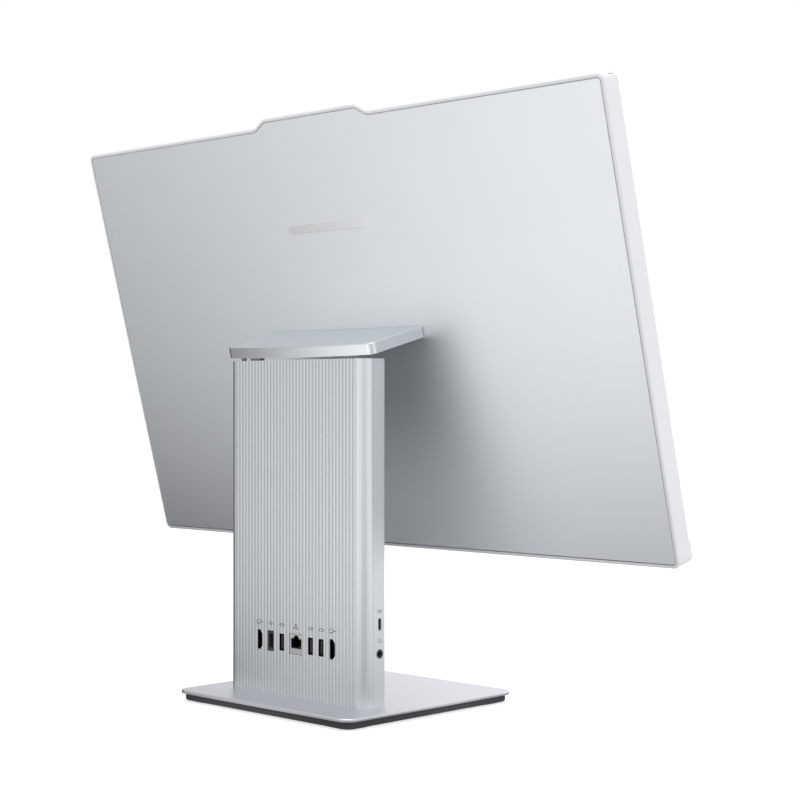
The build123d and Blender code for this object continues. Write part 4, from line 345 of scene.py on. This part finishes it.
# Name, colour and roughness, then the direction of the brushing or the scale and depth of the texture
silver = satin_metal("silver_metal", (0.83, 0.855, 0.878), 0.51)
front_metal = satin_metal("front_metal", (0.80, 0.82, 0.84), 0.5, metallic=0.5)
neck_metal = satin_metal("neck_metal", (0.72, 0.745, 0.765), 0.32)
column_metal = satin_metal("column_metal", (0.70, 0.73, 0.745), 0.42)
base_metal = satin_metal("base_metal", (0.72, 0.71, 0.745), 0.36, grain=0.2)
white = moulded_plastic("white_plastic", (0.74, 0.74, 0.755), 0.42, 1500.0, 0.03 * MM)
dark = moulded_plastic("dark_plastic", (0.055, 0.056, 0.06), 0.55, 900.0, 0.06 * MM)
black = moulded_plastic("black_plastic", (0.022, 0.022, 0.024), 0.5, 700.0, 0.06 * MM)
gloss = moulded_plastic("black_gloss", (0.008, 0.008, 0.01), 0.12, 300.0, 0.01 * MM, Coat_Weight=0.6)
key_white = moulded_plastic("key_white", (0.78, 0.78, 0.80), 0.38, 1700.0, 0.03 * MM)
inlet_black = moulded_plastic("inlet_black", (0.035, 0.036, 0.039), 0.5, 800.0, 0.05 * MM)
tongue_black = moulded_plastic("tongue_black", (0.03, 0.031, 0.033), 0.42, 900.0, 0.04 * MM)
ribbon_film = moulded_plastic("ribbon_film", (0.60, 0.60, 0.62), 0.35, 400.0, 0.03 * MM)
sheet_steel = brushed_metal("sheet_steel", (0.55, 0.56, 0.57), 0.38, SHEET_ALONG_Z)
screw_steel = brushed_metal("screw_steel", (0.40, 0.40, 0.41), 0.3, UNSTRETCHED)
port_steel = brushed_metal("port_steel", (0.62, 0.62, 0.63), 0.28, SHELL_ALONG_Y)
black_shell = brushed_metal("black_shell", (0.018, 0.018, 0.02), 0.42, SHELL_ALONG_Y)
fin_metal = brushed_metal("fin_metal", (0.72, 0.73, 0.74), 0.34, ALONG_Y)
copper = brushed_metal("copper", (0.78, 0.42, 0.28), 0.3, ALONG_Z)
brass = brushed_metal("brass_parts", (0.80, 0.62, 0.30), 0.26, ALONG_Y)
chip_metal = brushed_metal("chip_metal", (0.58, 0.58, 0.60), 0.3, ALONG_X)
spring_steel = brushed_metal("spring_steel", (0.16, 0.16, 0.165), 0.4, ALONG_Y)
mesh_wire = brushed_metal("mesh_wire", (0.10, 0.10, 0.105), 0.42, UNSTRETCHED)
jack_shell = make_port_shell("jack_shell", "Y", COLUMN_REAR, rim=0.8 * MM)
side_port_shell = make_port_shell("side_port_shell", "X", COLUMN_SIDE, rim=0.6 * MM)
green_window = make_lamp_window("green_window", (0.55, 0.66, 0.58))
amber_window = make_lamp_window("amber_window", (0.72, 0.64, 0.50))
rubber = make_rubber()
screen = make_screen()
board = make_circuit_board()
trim = make_trim()
lens = make_lens()
ink = make_ink()

FINISH_OF_SLOT = {
    "silver_metal": silver,
    "base_silver": base_metal,
    "white_plastic": white,
    "dark_plastic": dark,
    "black_plastic": black,
    "black_gloss": gloss,
    "rubber": rubber,
    "sheet_steel": sheet_steel,
    "screw_steel": screw_steel,
    "port_steel": port_steel,
    "polished_trim": trim,
    "screen_glass": screen,
    "circuit_board": board,
    "chip_metal": chip_metal,
    "copper": copper,
    "fin_metal": fin_metal,
    "brass": brass,
    "ribbon": ribbon_film,
}
FINISH_OF_NODE = {
    "column_shell": column_metal,
    "neck_cover": neck_metal,
    "column_front": front_metal,
    "neck_arm": front_metal,
    "hinge_brackets": front_metal,
    "camera_lens": lens,
    "power_button": key_white,
    "hdmi_ports": black_shell,
    "usb_a_ports": black_shell,
    "ethernet_port": jack_shell,
    "dc_inlet": inlet_black,
    "usb_c_port": side_port_shell,
    "port_tongues": tongue_black,
}

for entry in frame["record"]["subparts"]:
    finish = FINISH_OF_NODE.get(entry["node"], FINISH_OF_SLOT[entry["material_slot"]])
    mesh = frame["nodes"][entry["node"]].data
    mesh.materials.clear()
    mesh.materials.append(finish.material)


# ------------------------------------------------------------------ shapes for the small pieces

# Steps in a quarter turn of a rounded corner
CORNER_STEPS = 5


def loft(shape, rings, closed=False):
    """Skin between rings of points with equal counts: a loop, or a bar with closed ends."""
    made = [[shape.verts.new(point) for point in ring] for ring in rings]
    pairs = list(zip(made, made[1:]))
    if closed:
        pairs.append((made[-1], made[0]))
    else:
        shape.faces.new(made[0])
        shape.faces.new(list(reversed(made[-1])))
    for first, second in pairs:
        for i in range(len(first)):
            j = (i + 1) % len(first)
            shape.faces.new((first[j], first[i], second[i], second[j]))


def show_shape(name, shape, material):
    """Turns a bmesh into an object in the scene."""
    mesh = bpy.data.meshes.new(name)
    shape.to_mesh(mesh)
    shape.free()
    mesh.materials.append(material)
    shown = bpy.data.objects.new(name, mesh)
    bpy.context.scene.collection.objects.link(shown)
    return shown


def make_piece(name, shape, finish, body):
    """Turns a bmesh into a piece that rides on a body, with its finish."""
    bmesh.ops.recalc_face_normals(shape, faces=shape.faces)
    piece = show_shape(name, shape, finish.material)
    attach(piece, body)


def middle(node):
    """Middle of a node's box."""
    low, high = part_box(node)
    return (low + high) / 2


def middles_along_x(node, gap):
    """Middles of the separate solids in a node, split where X is empty for more than the gap."""
    places = sorted({vertex.co.x for vertex in frame["nodes"][node].data.vertices})
    groups = [[places[0]]]
    for place in places[1:]:
        if place - groups[-1][-1] > gap:
            groups.append([])
        groups[-1].append(place)
    return [(group[0] + group[-1]) / 2 for group in groups]


def rounded_outline(centre, width, height, radius):
    """2-D points of a rounded rectangle, counter-clockwise."""
    points = []
    for quarter, (side, lift) in enumerate(((1, 1), (-1, 1), (-1, -1), (1, -1))):
        middle_x = centre[0] + side * (width / 2 - radius)
        middle_y = centre[1] + lift * (height / 2 - radius)
        for i in range(CORNER_STEPS + 1):
            turn = (quarter + i / CORNER_STEPS) * math.pi / 2
            points.append((middle_x + radius * math.cos(turn), middle_y + radius * math.sin(turn)))
    return points


# ------------------------------------------------------------------ printed port symbols

# The symbols are drawn in mm about their own middles
INK_STEP = 0.25
INK_LINE = 0.46
DISC_STEPS = 12
RING_STEPS = 28
BAND_STEPS = 16
BAND_RADIUS = 1.6
BAND_FOOT = -0.5
CUP_RIM = 1.25
# How the ink sits on the shell, and where the symbols stand over their sockets
INK_PROUD = 0.03 * MM
INK_SUNK = 0.02 * MM
RAY_START = 5.0 * MM
SYMBOL_RISE = 14.3 * MM
SIDE_SYMBOL_RISE = 10.4 * MM
# Gap along X between two sockets, which is wider than any gap within one
SOCKET_GAP = 6.0 * MM


def line(points, closed=False):
    """Edges of an inked line along 2-D points, in short steps and mitred at its corners."""
    path = []
    ends = points[1:] + points[:1] if closed else points[1:]
    for start, end in zip(points, ends):
        steps = max(1, math.ceil(math.dist(start, end) / INK_STEP))
        path += [Vector(start).lerp(Vector(end), i / steps) for i in range(steps)]
    if not closed:
        path.append(Vector(points[-1]))
    edges = []
    last = len(path) - 1
    for i, point in enumerate(path):
        before = path[i - 1] if i or closed else point * 2 - path[1]
        after = path[(i + 1) % len(path)] if i < last or closed else point * 2 - path[i - 1]
        into = (point - before).normalized()
        out = (after - point).normalized()
        normal = Vector((-into.y - out.y, into.x + out.x)).normalized()
        reach = INK_LINE / 2 / normal.dot(Vector((-into.y, into.x)))
        edges.append((point + normal * reach, point - normal * reach))
    return edges, closed


def patch(x, y, width, height):
    """Edges of a filled rectangle, in steps along X so that it follows the ribs."""
    steps = max(2, math.ceil(width / INK_STEP))
    columns = [x + width * (i / steps - 0.5) for i in range(steps + 1)]
    return [(Vector((c, y + height / 2)), Vector((c, y - height / 2))) for c in columns], False


def dot(x, y, radius):
    """Edges of a filled disc, in steps along X."""
    edges = []
    for i in range(1, DISC_STEPS):
        turn = math.pi * i / DISC_STEPS
        reach = Vector((0, radius * math.sin(turn)))
        edge = Vector((x - radius * math.cos(turn), y))
        edges.append((edge + reach, edge - reach))
    return edges, False


def ring(x, y, radius):
    """Edges of an inked circle."""
    turns = [math.tau * i / RING_STEPS for i in range(RING_STEPS)]
    return line([(x + radius * math.cos(t), y + radius * math.sin(t)) for t in turns], closed=True)


def video_symbol():
    """A screen on a stand, with an arrow towards it."""
    return [
        line(rounded_outline((-1.6, 0.4), 4.6, 2.6, 0.5), closed=True),
        line([(-2.8, -1.45), (-0.4, -1.45)]),
        line([(1.4, 0.4), (4.2, 0.4)]),
        line([(2.4, 1.3), (1.4, 0.4), (2.4, -0.5)]),
    ]


def power_symbol():
    """A round barrel with its two leads."""
    return [ring(0, 0, 1.5), dot(0, 0, 0.55), line([(-3.0, 0), (-1.7, 0)]), line([(1.7, 0), (3.0, 0)])]


def serial_symbol():
    """A flat plug with two contacts, and its lead."""
    return [
        line([(-3.2, 0), (-1.7, 0)]),
        line(rounded_outline((-0.3, 0), 2.4, 2.2, 0.3), closed=True),
        line([(1.1, 0.8), (3.0, 0.8), (3.0, -0.8), (1.1, -0.8)]),
        patch(2.1, 0.32, 0.5, 0.3),
        patch(2.1, -0.32, 0.5, 0.3),
    ]


def network_symbol():
    """Three linked boxes."""
    return [
        patch(0, 1.5, 1.7, 1.3),
        patch(-1.7, -1.4, 1.7, 1.3),
        patch(1.7, -1.4, 1.7, 1.3),
        line([(0, 0.83), (0, 0.2)]),
        line([(-1.7, -0.73), (-1.7, 0.03), (1.7, 0.03), (1.7, -0.73)]),
    ]


def oval_symbol():
    """An oval plug face with its bar."""
    return [line(rounded_outline((0, 0), 4.4, 1.9, 0.94), closed=True), patch(0, 0, 2.2, 0.42)]


def headset_symbol():
    """A headband with two ear cups."""
    turns = [math.pi * i / BAND_STEPS for i in range(BAND_STEPS + 1)]
    band = [(BAND_RADIUS * math.cos(turn), BAND_RADIUS * math.sin(turn)) for turn in turns]
    cups = [patch(side * CUP_RIM, -0.9, 0.8, 1.4) for side in (1, -1)]
    return [line([(BAND_RADIUS, BAND_FOOT)] + band + [(-BAND_RADIUS, BAND_FOOT)])] + cups


def surface_of(node):
    """Tree of a node's mesh, for finding points on its surface."""
    shape = bmesh.new()
    shape.from_mesh(frame["nodes"][node].data)
    tree = BVHTree.FromBMesh(shape)
    shape.free()
    return tree


def print_symbol(name, strokes, surface, centre, right, inward):
    """Lays a drawing on a surface as thin closed ribbons of ink that follow its ribs."""
    shape = bmesh.new()
    for edges, closed in strokes:
        rings = []
        for edge in edges:
            spots = []
            for point in edge:
                start = centre + (right * point.x + UP * point.y) * MM - inward * RAY_START
                spots.append(surface.ray_cast(start, inward)[0])
            rings.append([
                spots[0] - inward * INK_PROUD,
                spots[1] - inward * INK_PROUD,
                spots[1] + inward * INK_SUNK,
                spots[0] + inward * INK_SUNK,
            ])
        loft(shape, rings, closed)
    make_piece(name, shape, ink, "stand")


def print_port_symbols():
    """A symbol over each socket, named after it."""
    shell = surface_of("column_shell")
    rear_ports = [
        ("video", video_symbol(), middles_along_x("hdmi_ports", SOCKET_GAP)),
        ("serial", serial_symbol(), middles_along_x("usb_a_ports", SOCKET_GAP)),
        ("network", network_symbol(), [middle("ethernet_port").x]),
        ("power", power_symbol(), [middle("dc_inlet").x]),
    ]
    height = middle("usb_a_ports").z + SYMBOL_RISE
    for port, strokes, places in rear_ports:
        for number, x in enumerate(places, 1):
            centre = Vector((x, COLUMN_REAR, height))
            print_symbol(f"{port}_symbol_{number}", strokes, shell, centre, -ACROSS, -REARWARD)
    for node, strokes in (("usb_c_port", oval_symbol()), ("audio_jack", headset_symbol())):
        centre = Vector((COLUMN_SIDE, middle(node).y, middle(node).z + SIDE_SYMBOL_RISE))
        print_symbol(f"{node}_symbol", strokes, shell, centre, -REARWARD, ACROSS)


# ------------------------------------------------------------------ socket details

# A lamp window's outline in mm, and its dome as steps of inset and lift
LAMP_WIDTH = 2.6
LAMP_HEIGHT = 1.7
LAMP_CORNER = 0.5
LAMP_DOME = ((0.0, -0.05), (0.0, 0.06), (0.12, 0.16), (0.4, 0.21))
# The windows' places in the jack
LAMP_SPREAD = 5.7 * MM
LAMP_DROP = 2.0 * MM
LAMPS = (("network_lamp_left", 1, green_window), ("network_lamp_right", -1, amber_window))
# Sprung fingers: spread is up and down from the socket's middle, wall is out to each side
SPRING_WIDTH = 1.5 * MM
SPRING_T = 0.16 * MM
SPRING_START = 0.9 * MM
SPRING_LENGTH = 6.0 * MM
SPRING_BULGE = 0.42 * MM
SPRING_SPREAD = 3.2 * MM
SPRING_WALL = 2.36 * MM
SPRING_STEPS = 10
SPRING_TAPER = 0.3


def make_lamp_windows():
    """Two domed windows for the lights in the network jack's upper corners."""
    jack_middle = middle("ethernet_port").x
    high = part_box("ethernet_port")[1]
    for name, side, finish in LAMPS:
        centre = Vector((jack_middle + side * LAMP_SPREAD, high.y, high.z - LAMP_DROP))
        shape = bmesh.new()
        rings = []
        for inset, lift in LAMP_DOME:
            width = LAMP_WIDTH - 2 * inset
            height = LAMP_HEIGHT - 2 * inset
            outline = rounded_outline((0, 0), width, height, LAMP_CORNER - inset / 2)
            rings.append([centre + (ACROSS * x + UP * z + REARWARD * lift) * MM for x, z in outline])
        loft(shape, rings)
        make_piece(name, shape, finish, "stand")


def spring_rings(x, side, mouth, height):
    """Rings of one sprung finger, which bulges from a long wall towards the socket's middle."""
    rings = []
    for i in range(SPRING_STEPS + 1):
        share = i / SPRING_STEPS
        bulge = SPRING_BULGE * math.sin(math.pi * share) ** 2
        outer = x + side * (SPRING_WALL - bulge)
        inner = outer - side * SPRING_T
        y = mouth - SPRING_START - SPRING_LENGTH * share
        half = SPRING_WIDTH / 2 * (1 - SPRING_TAPER * share)
        corners = ((outer, half), (inner, half), (inner, -half), (outer, -half))
        rings.append([Vector((place, y, height + reach)) for place, reach in corners])
    return rings


def make_spring_fingers():
    """Two sprung fingers on each long wall of each flat serial shell."""
    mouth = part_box("usb_a_ports")[1].y
    height = middle("usb_a_ports").z
    shape = bmesh.new()
    for x in middles_along_x("usb_a_ports", SOCKET_GAP):
        for side in (-1, 1):
            for lift in (-SPRING_SPREAD, SPRING_SPREAD):
                loft(shape, spring_rings(x, side, mouth, height + lift))
    make_piece("serial_spring_fingers", shape, spring_steel, "stand")


# ------------------------------------------------------------------ woven meshes behind the slots

# Wires of every mesh, with the corners of their section
MESH_PITCH = 1.2 * MM
MESH_WIRE = 0.13 * MM
WIRE_SECTION = ((1, 0), (0, 1), (-1, 0), (0, -1))
# Each field's two sizes, and where it lies behind its slots
VENT_MESH_DEPTH = 1.25 * MM
VENT_FIELD = (100.0 * MM, 33.0 * MM)
VENT_FIELD_HEIGHTS = (70.0 * MM, 110.0 * MM, 229.0 * MM)
SPEAKER_FIELD = (94.0 * MM, 10.8 * MM)
SPEAKER_MESH_LIFT = 1.2 * MM
SPEAKER_HALF_HEIGHT = 6.3 * MM


def lay_wires(shape, centre, spread, run, out, counts):
    """Parallel wires, set apart along spread, that rise and dip at their crossings along run."""
    wires, crossings = counts
    section = [(spread * c + out * s) * MESH_WIRE for c, s in WIRE_SECTION]
    for i in range(wires + 1):
        rings = []
        for j in range(crossings + 1):
            aside = spread * (MESH_PITCH * (i - wires / 2)) + run * (MESH_PITCH * (j - crossings / 2))
            spot = centre + out * ((-1) ** (i + j) * MESH_WIRE) + aside
            rings.append([spot + corner for corner in section])
        loft(shape, rings)


def weave(shape, centre, across, along, size):
    """Plain weave: wires in two directions that pass over and under each other."""
    out = across.cross(along)
    columns, rows = (round(length / MESH_PITCH) for length in size)
    lay_wires(shape, centre, across, along, out, (columns, rows))
    lay_wires(shape, centre, along, across, -out, (rows, columns))


def make_dust_meshes():
    """Dust mesh set into the back of the column's front cover, one panel per field of slots."""
    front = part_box("column_front")[0].y
    shape = bmesh.new()
    for height in VENT_FIELD_HEIGHTS:
        weave(shape, Vector((0, front + VENT_MESH_DEPTH, height)), ACROSS, UP, VENT_FIELD)
    make_piece("dust_mesh", shape, mesh_wire, "stand")


def make_speaker_meshes():
    """Mesh between the chin's slots and each loudspeaker."""
    for side, speaker in (("left", "speaker_left"), ("right", "speaker_right")):
        centre = middle(speaker)
        offset = centre - SEAM_CENTRE
        rise = offset.dot(SCREEN_UP)
        depth = offset.dot(SCREEN_FRONT)
        shape = bmesh.new()
        place = SEAM_CENTRE + ACROSS * centre.x + SCREEN_FRONT * depth
        place += SCREEN_UP * (rise - SPEAKER_HALF_HEIGHT - SPEAKER_MESH_LIFT)
        weave(shape, place, ACROSS, SCREEN_FRONT, SPEAKER_FIELD)
        make_piece(f"speaker_mesh_{side}", shape, mesh_wire, "display")


# ------------------------------------------------------------------ ribbon across the hinge

# Sections in mm. The sleeve wraps the ribbon with a thin wall.
RIBBON_WIDTH = 6.0
RIBBON_T = 0.6
SLEEVE_WALL = 0.1
SLEEVE_CORNER = 0.3
SLEEVE_OVERLAP = 1.0 * MM
SLEEVE_STEPS = 12


def make_ribbon_fold():
    """Short sleeve of film that joins the ribbon's two halves across the hinge."""
    tilt = next(joint for joint in frame["joints"] if joint["name"] == "display_tilt")
    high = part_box("display_cable_lower")[1]
    centre = Vector((high.x - RIBBON_WIDTH * MM / 2, high.y - RIBBON_T * MM / 2, 0))
    top = 2 * tilt["pos_m"][2] - high.z
    rise = top - high.z + 2 * SLEEVE_OVERLAP
    width = RIBBON_WIDTH + 2 * SLEEVE_WALL
    outline = rounded_outline((0, 0), width, RIBBON_T + 2 * SLEEVE_WALL, SLEEVE_CORNER)
    rings = []
    for i in range(SLEEVE_STEPS + 1):
        z = high.z - SLEEVE_OVERLAP + rise * i / SLEEVE_STEPS
        rings.append([centre + (ACROSS * x + REARWARD * y) * MM + UP * z for x, y in outline])
    shape = bmesh.new()
    loft(shape, rings)
    bmesh.ops.recalc_face_normals(shape, faces=shape.faces)
    fold = show_shape("ribbon_fold", shape, ribbon_film.material)
    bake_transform(fold)


print_port_symbols()
make_lamp_windows()
make_spring_fingers()
make_dust_meshes()
make_speaker_meshes()
make_ribbon_fold()


# ------------------------------------------------------------------ stage, light and camera

# Dark flats standing round the studio: azimuth from +X, half width in degrees, and light left
SKY_FLATS = ((5.0, 55.0, 0.02), (112.0, 44.0, 0.62))
FLOOR_FLATS = ((5.0, 55.0, 0.02), (142.0, 48.0, 0.5), (225.5, 20.0, 0.6))
SKY_COLOUR = (0.96, 0.98, 1.0, 1)
SKY_LEVEL = 1.10
WHITE = (1, 1, 1, 1)

FLOOR_HALF_SIZE = 14.0
FLOOR_LEVEL = 1.42
# Share of the floor's light that is left under the object, and the radii between which it returns
FLOOR_UNDER = 0.42
UNDER_RADIUS = 0.22
OPEN_RADIUS = 0.62
PAPER_GREY = (0.5, 0.5, 0.5, 1)
PAPER_GLOW = 0.66

SOFTBOX_PLACE = (-0.6, 0.4, 2.6)
SOFTBOX_SIZE = 2.6
SOFTBOX_POWER = 24.0

CAMERA_PLACE = (-1.0701, 1.0259, 0.2527)
CAMERA_AIM = (0.7000, -0.7141, 0.0)
CAMERA_LENS = 79.47
CAMERA_SENSOR = 36.0
CAMERA_NEAR = 0.05
CAMERA_FAR = 100.0


def facing(direction):
    """Rotation that turns a lamp or camera, which looks along its own -Z, to a direction."""
    return Vector(direction).to_track_quat("-Z", "Y").to_euler()


def add_node(tree, kind, operation=None):
    """New shader node, with its operation if it has one."""
    made = tree.nodes.new("ShaderNode" + kind)
    if operation:
        made.operation = operation
    return made


def ramp(tree, value, start, end, low, high):
    """Goes from low to high as the value goes from start to end."""
    made = add_node(tree, "MapRange")
    limits = (("From Min", start), ("From Max", end), ("To Min", low), ("To Max", high))
    for socket, limit in limits:
        made.inputs[socket].default_value = limit
    tree.links.new(value, made.inputs["Value"])
    return made.outputs["Result"]


def flat_shade(tree, unit, azimuth, half_width, left):
    """Share of the light that one dark flat leaves, by direction."""
    turn = math.radians(azimuth)
    towards = add_node(tree, "VectorMath", "DOT_PRODUCT")
    towards.inputs[1].default_value = (math.cos(turn), math.sin(turn), 0)
    tree.links.new(unit, towards.inputs[0])
    edge = math.cos(math.radians(half_width))
    return ramp(tree, towards.outputs["Value"], edge, 1.0, 1.0, left)


def product(tree, first, second):
    """Product of an output and a number or another output."""
    made = add_node(tree, "Math", "MULTIPLY")
    tree.links.new(first, made.inputs[0])
    if isinstance(second, float):
        made.inputs[1].default_value = second
    else:
        tree.links.new(second, made.inputs[1])
    return made.outputs[0]


def studio_level(tree, direction, level, flats):
    """Brightness by direction: full all round, and falling off towards the dark flats."""
    unit = add_node(tree, "VectorMath", "NORMALIZE")
    tree.links.new(direction, unit.inputs[0])
    brightness = level
    for flat in flats:
        brightness = product(tree, flat_shade(tree, unit.outputs[0], *flat), brightness)
    return brightness


def show_camera(tree, shader, backdrop, output):
    """Gives the camera a plain backdrop, and all light and reflections the shader."""
    path = add_node(tree, "LightPath")
    choice = add_node(tree, "MixShader")
    tree.links.new(path.outputs["Is Camera Ray"], choice.inputs["Fac"])
    tree.links.new(shader.outputs[0], choice.inputs[1])
    tree.links.new(backdrop.outputs[0], choice.inputs[2])
    tree.links.new(choice.outputs[0], output.inputs["Surface"])


def add_floor():
    """Large pale floor. It takes a faint shadow, and what it throws back at the object fades
    towards the dark flats and under the object."""
    material = bpy.data.materials.new("pale_floor")
    material.use_nodes = True
    tree = material.node_tree
    tree.nodes.clear()
    place = add_node(tree, "NewGeometry").outputs["Position"]
    distance = add_node(tree, "VectorMath", "LENGTH")
    tree.links.new(place, distance.inputs[0])
    radius = distance.outputs["Value"]
    openness = ramp(tree, radius, UNDER_RADIUS, OPEN_RADIUS, FLOOR_UNDER, 1.0)
    level = studio_level(tree, place, FLOOR_LEVEL, FLOOR_FLATS)
    bounce = add_node(tree, "Emission")
    tree.links.new(product(tree, level, openness), bounce.inputs["Strength"])
    paper = add_node(tree, "BsdfDiffuse")
    paper.inputs["Color"].default_value = PAPER_GREY
    glow = add_node(tree, "Emission")
    glow.inputs["Strength"].default_value = PAPER_GLOW
    seen = add_node(tree, "AddShader")
    tree.links.new(paper.outputs[0], seen.inputs[0])
    tree.links.new(glow.outputs[0], seen.inputs[1])
    show_camera(tree, bounce, seen, add_node(tree, "OutputMaterial"))
    shape = bmesh.new()
    bmesh.ops.create_grid(shape, x_segments=2, y_segments=2, size=FLOOR_HALF_SIZE)
    floor = show_shape("studio_floor", shape, material)


def set_world():
    """White backdrop for the camera, and a faintly blue surround for light and reflections."""
    world = bpy.data.worlds.new("studio_world")
    bpy.context.scene.world = world
    world.use_nodes = True
    tree = world.node_tree
    surround = tree.nodes["Background"]
    surround.inputs["Color"].default_value = SKY_COLOUR
    direction = add_node(tree, "TexCoord").outputs["Generated"]
    tree.links.new(studio_level(tree, direction, SKY_LEVEL, SKY_FLATS), surround.inputs["Strength"])
    backdrop = add_node(tree, "Background")
    backdrop.inputs["Color"].default_value = WHITE
    show_camera(tree, surround, backdrop, tree.nodes["World Output"])


def add_softbox():
    """Square softbox over the object, aimed at its foot."""
    light = bpy.data.lights.new("top_softbox", "AREA")
    light.shape = "RECTANGLE"
    light.size = SOFTBOX_SIZE
    light.size_y = SOFTBOX_SIZE
    light.energy = SOFTBOX_POWER
    lamp = bpy.data.objects.new("top_softbox", light)
    lamp.location = SOFTBOX_PLACE
    lamp.rotation_euler = facing(-Vector(SOFTBOX_PLACE))
    bpy.context.scene.collection.objects.link(lamp)


def add_camera():
    """Camera behind the computer and to its -X side, looking level."""
    camera = bpy.data.cameras.new("camera")
    camera.lens = CAMERA_LENS
    camera.sensor_width = CAMERA_SENSOR
    camera.clip_start = CAMERA_NEAR
    camera.clip_end = CAMERA_FAR
    holder = bpy.data.objects.new("camera", camera)
    holder.location = CAMERA_PLACE
    holder.rotation_euler = facing(CAMERA_AIM)
    bpy.context.scene.collection.objects.link(holder)
    bpy.context.scene.camera = holder


add_floor()
set_world()
add_softbox()
add_camera()
bpy.context.scene.view_settings.view_transform = "Standard"
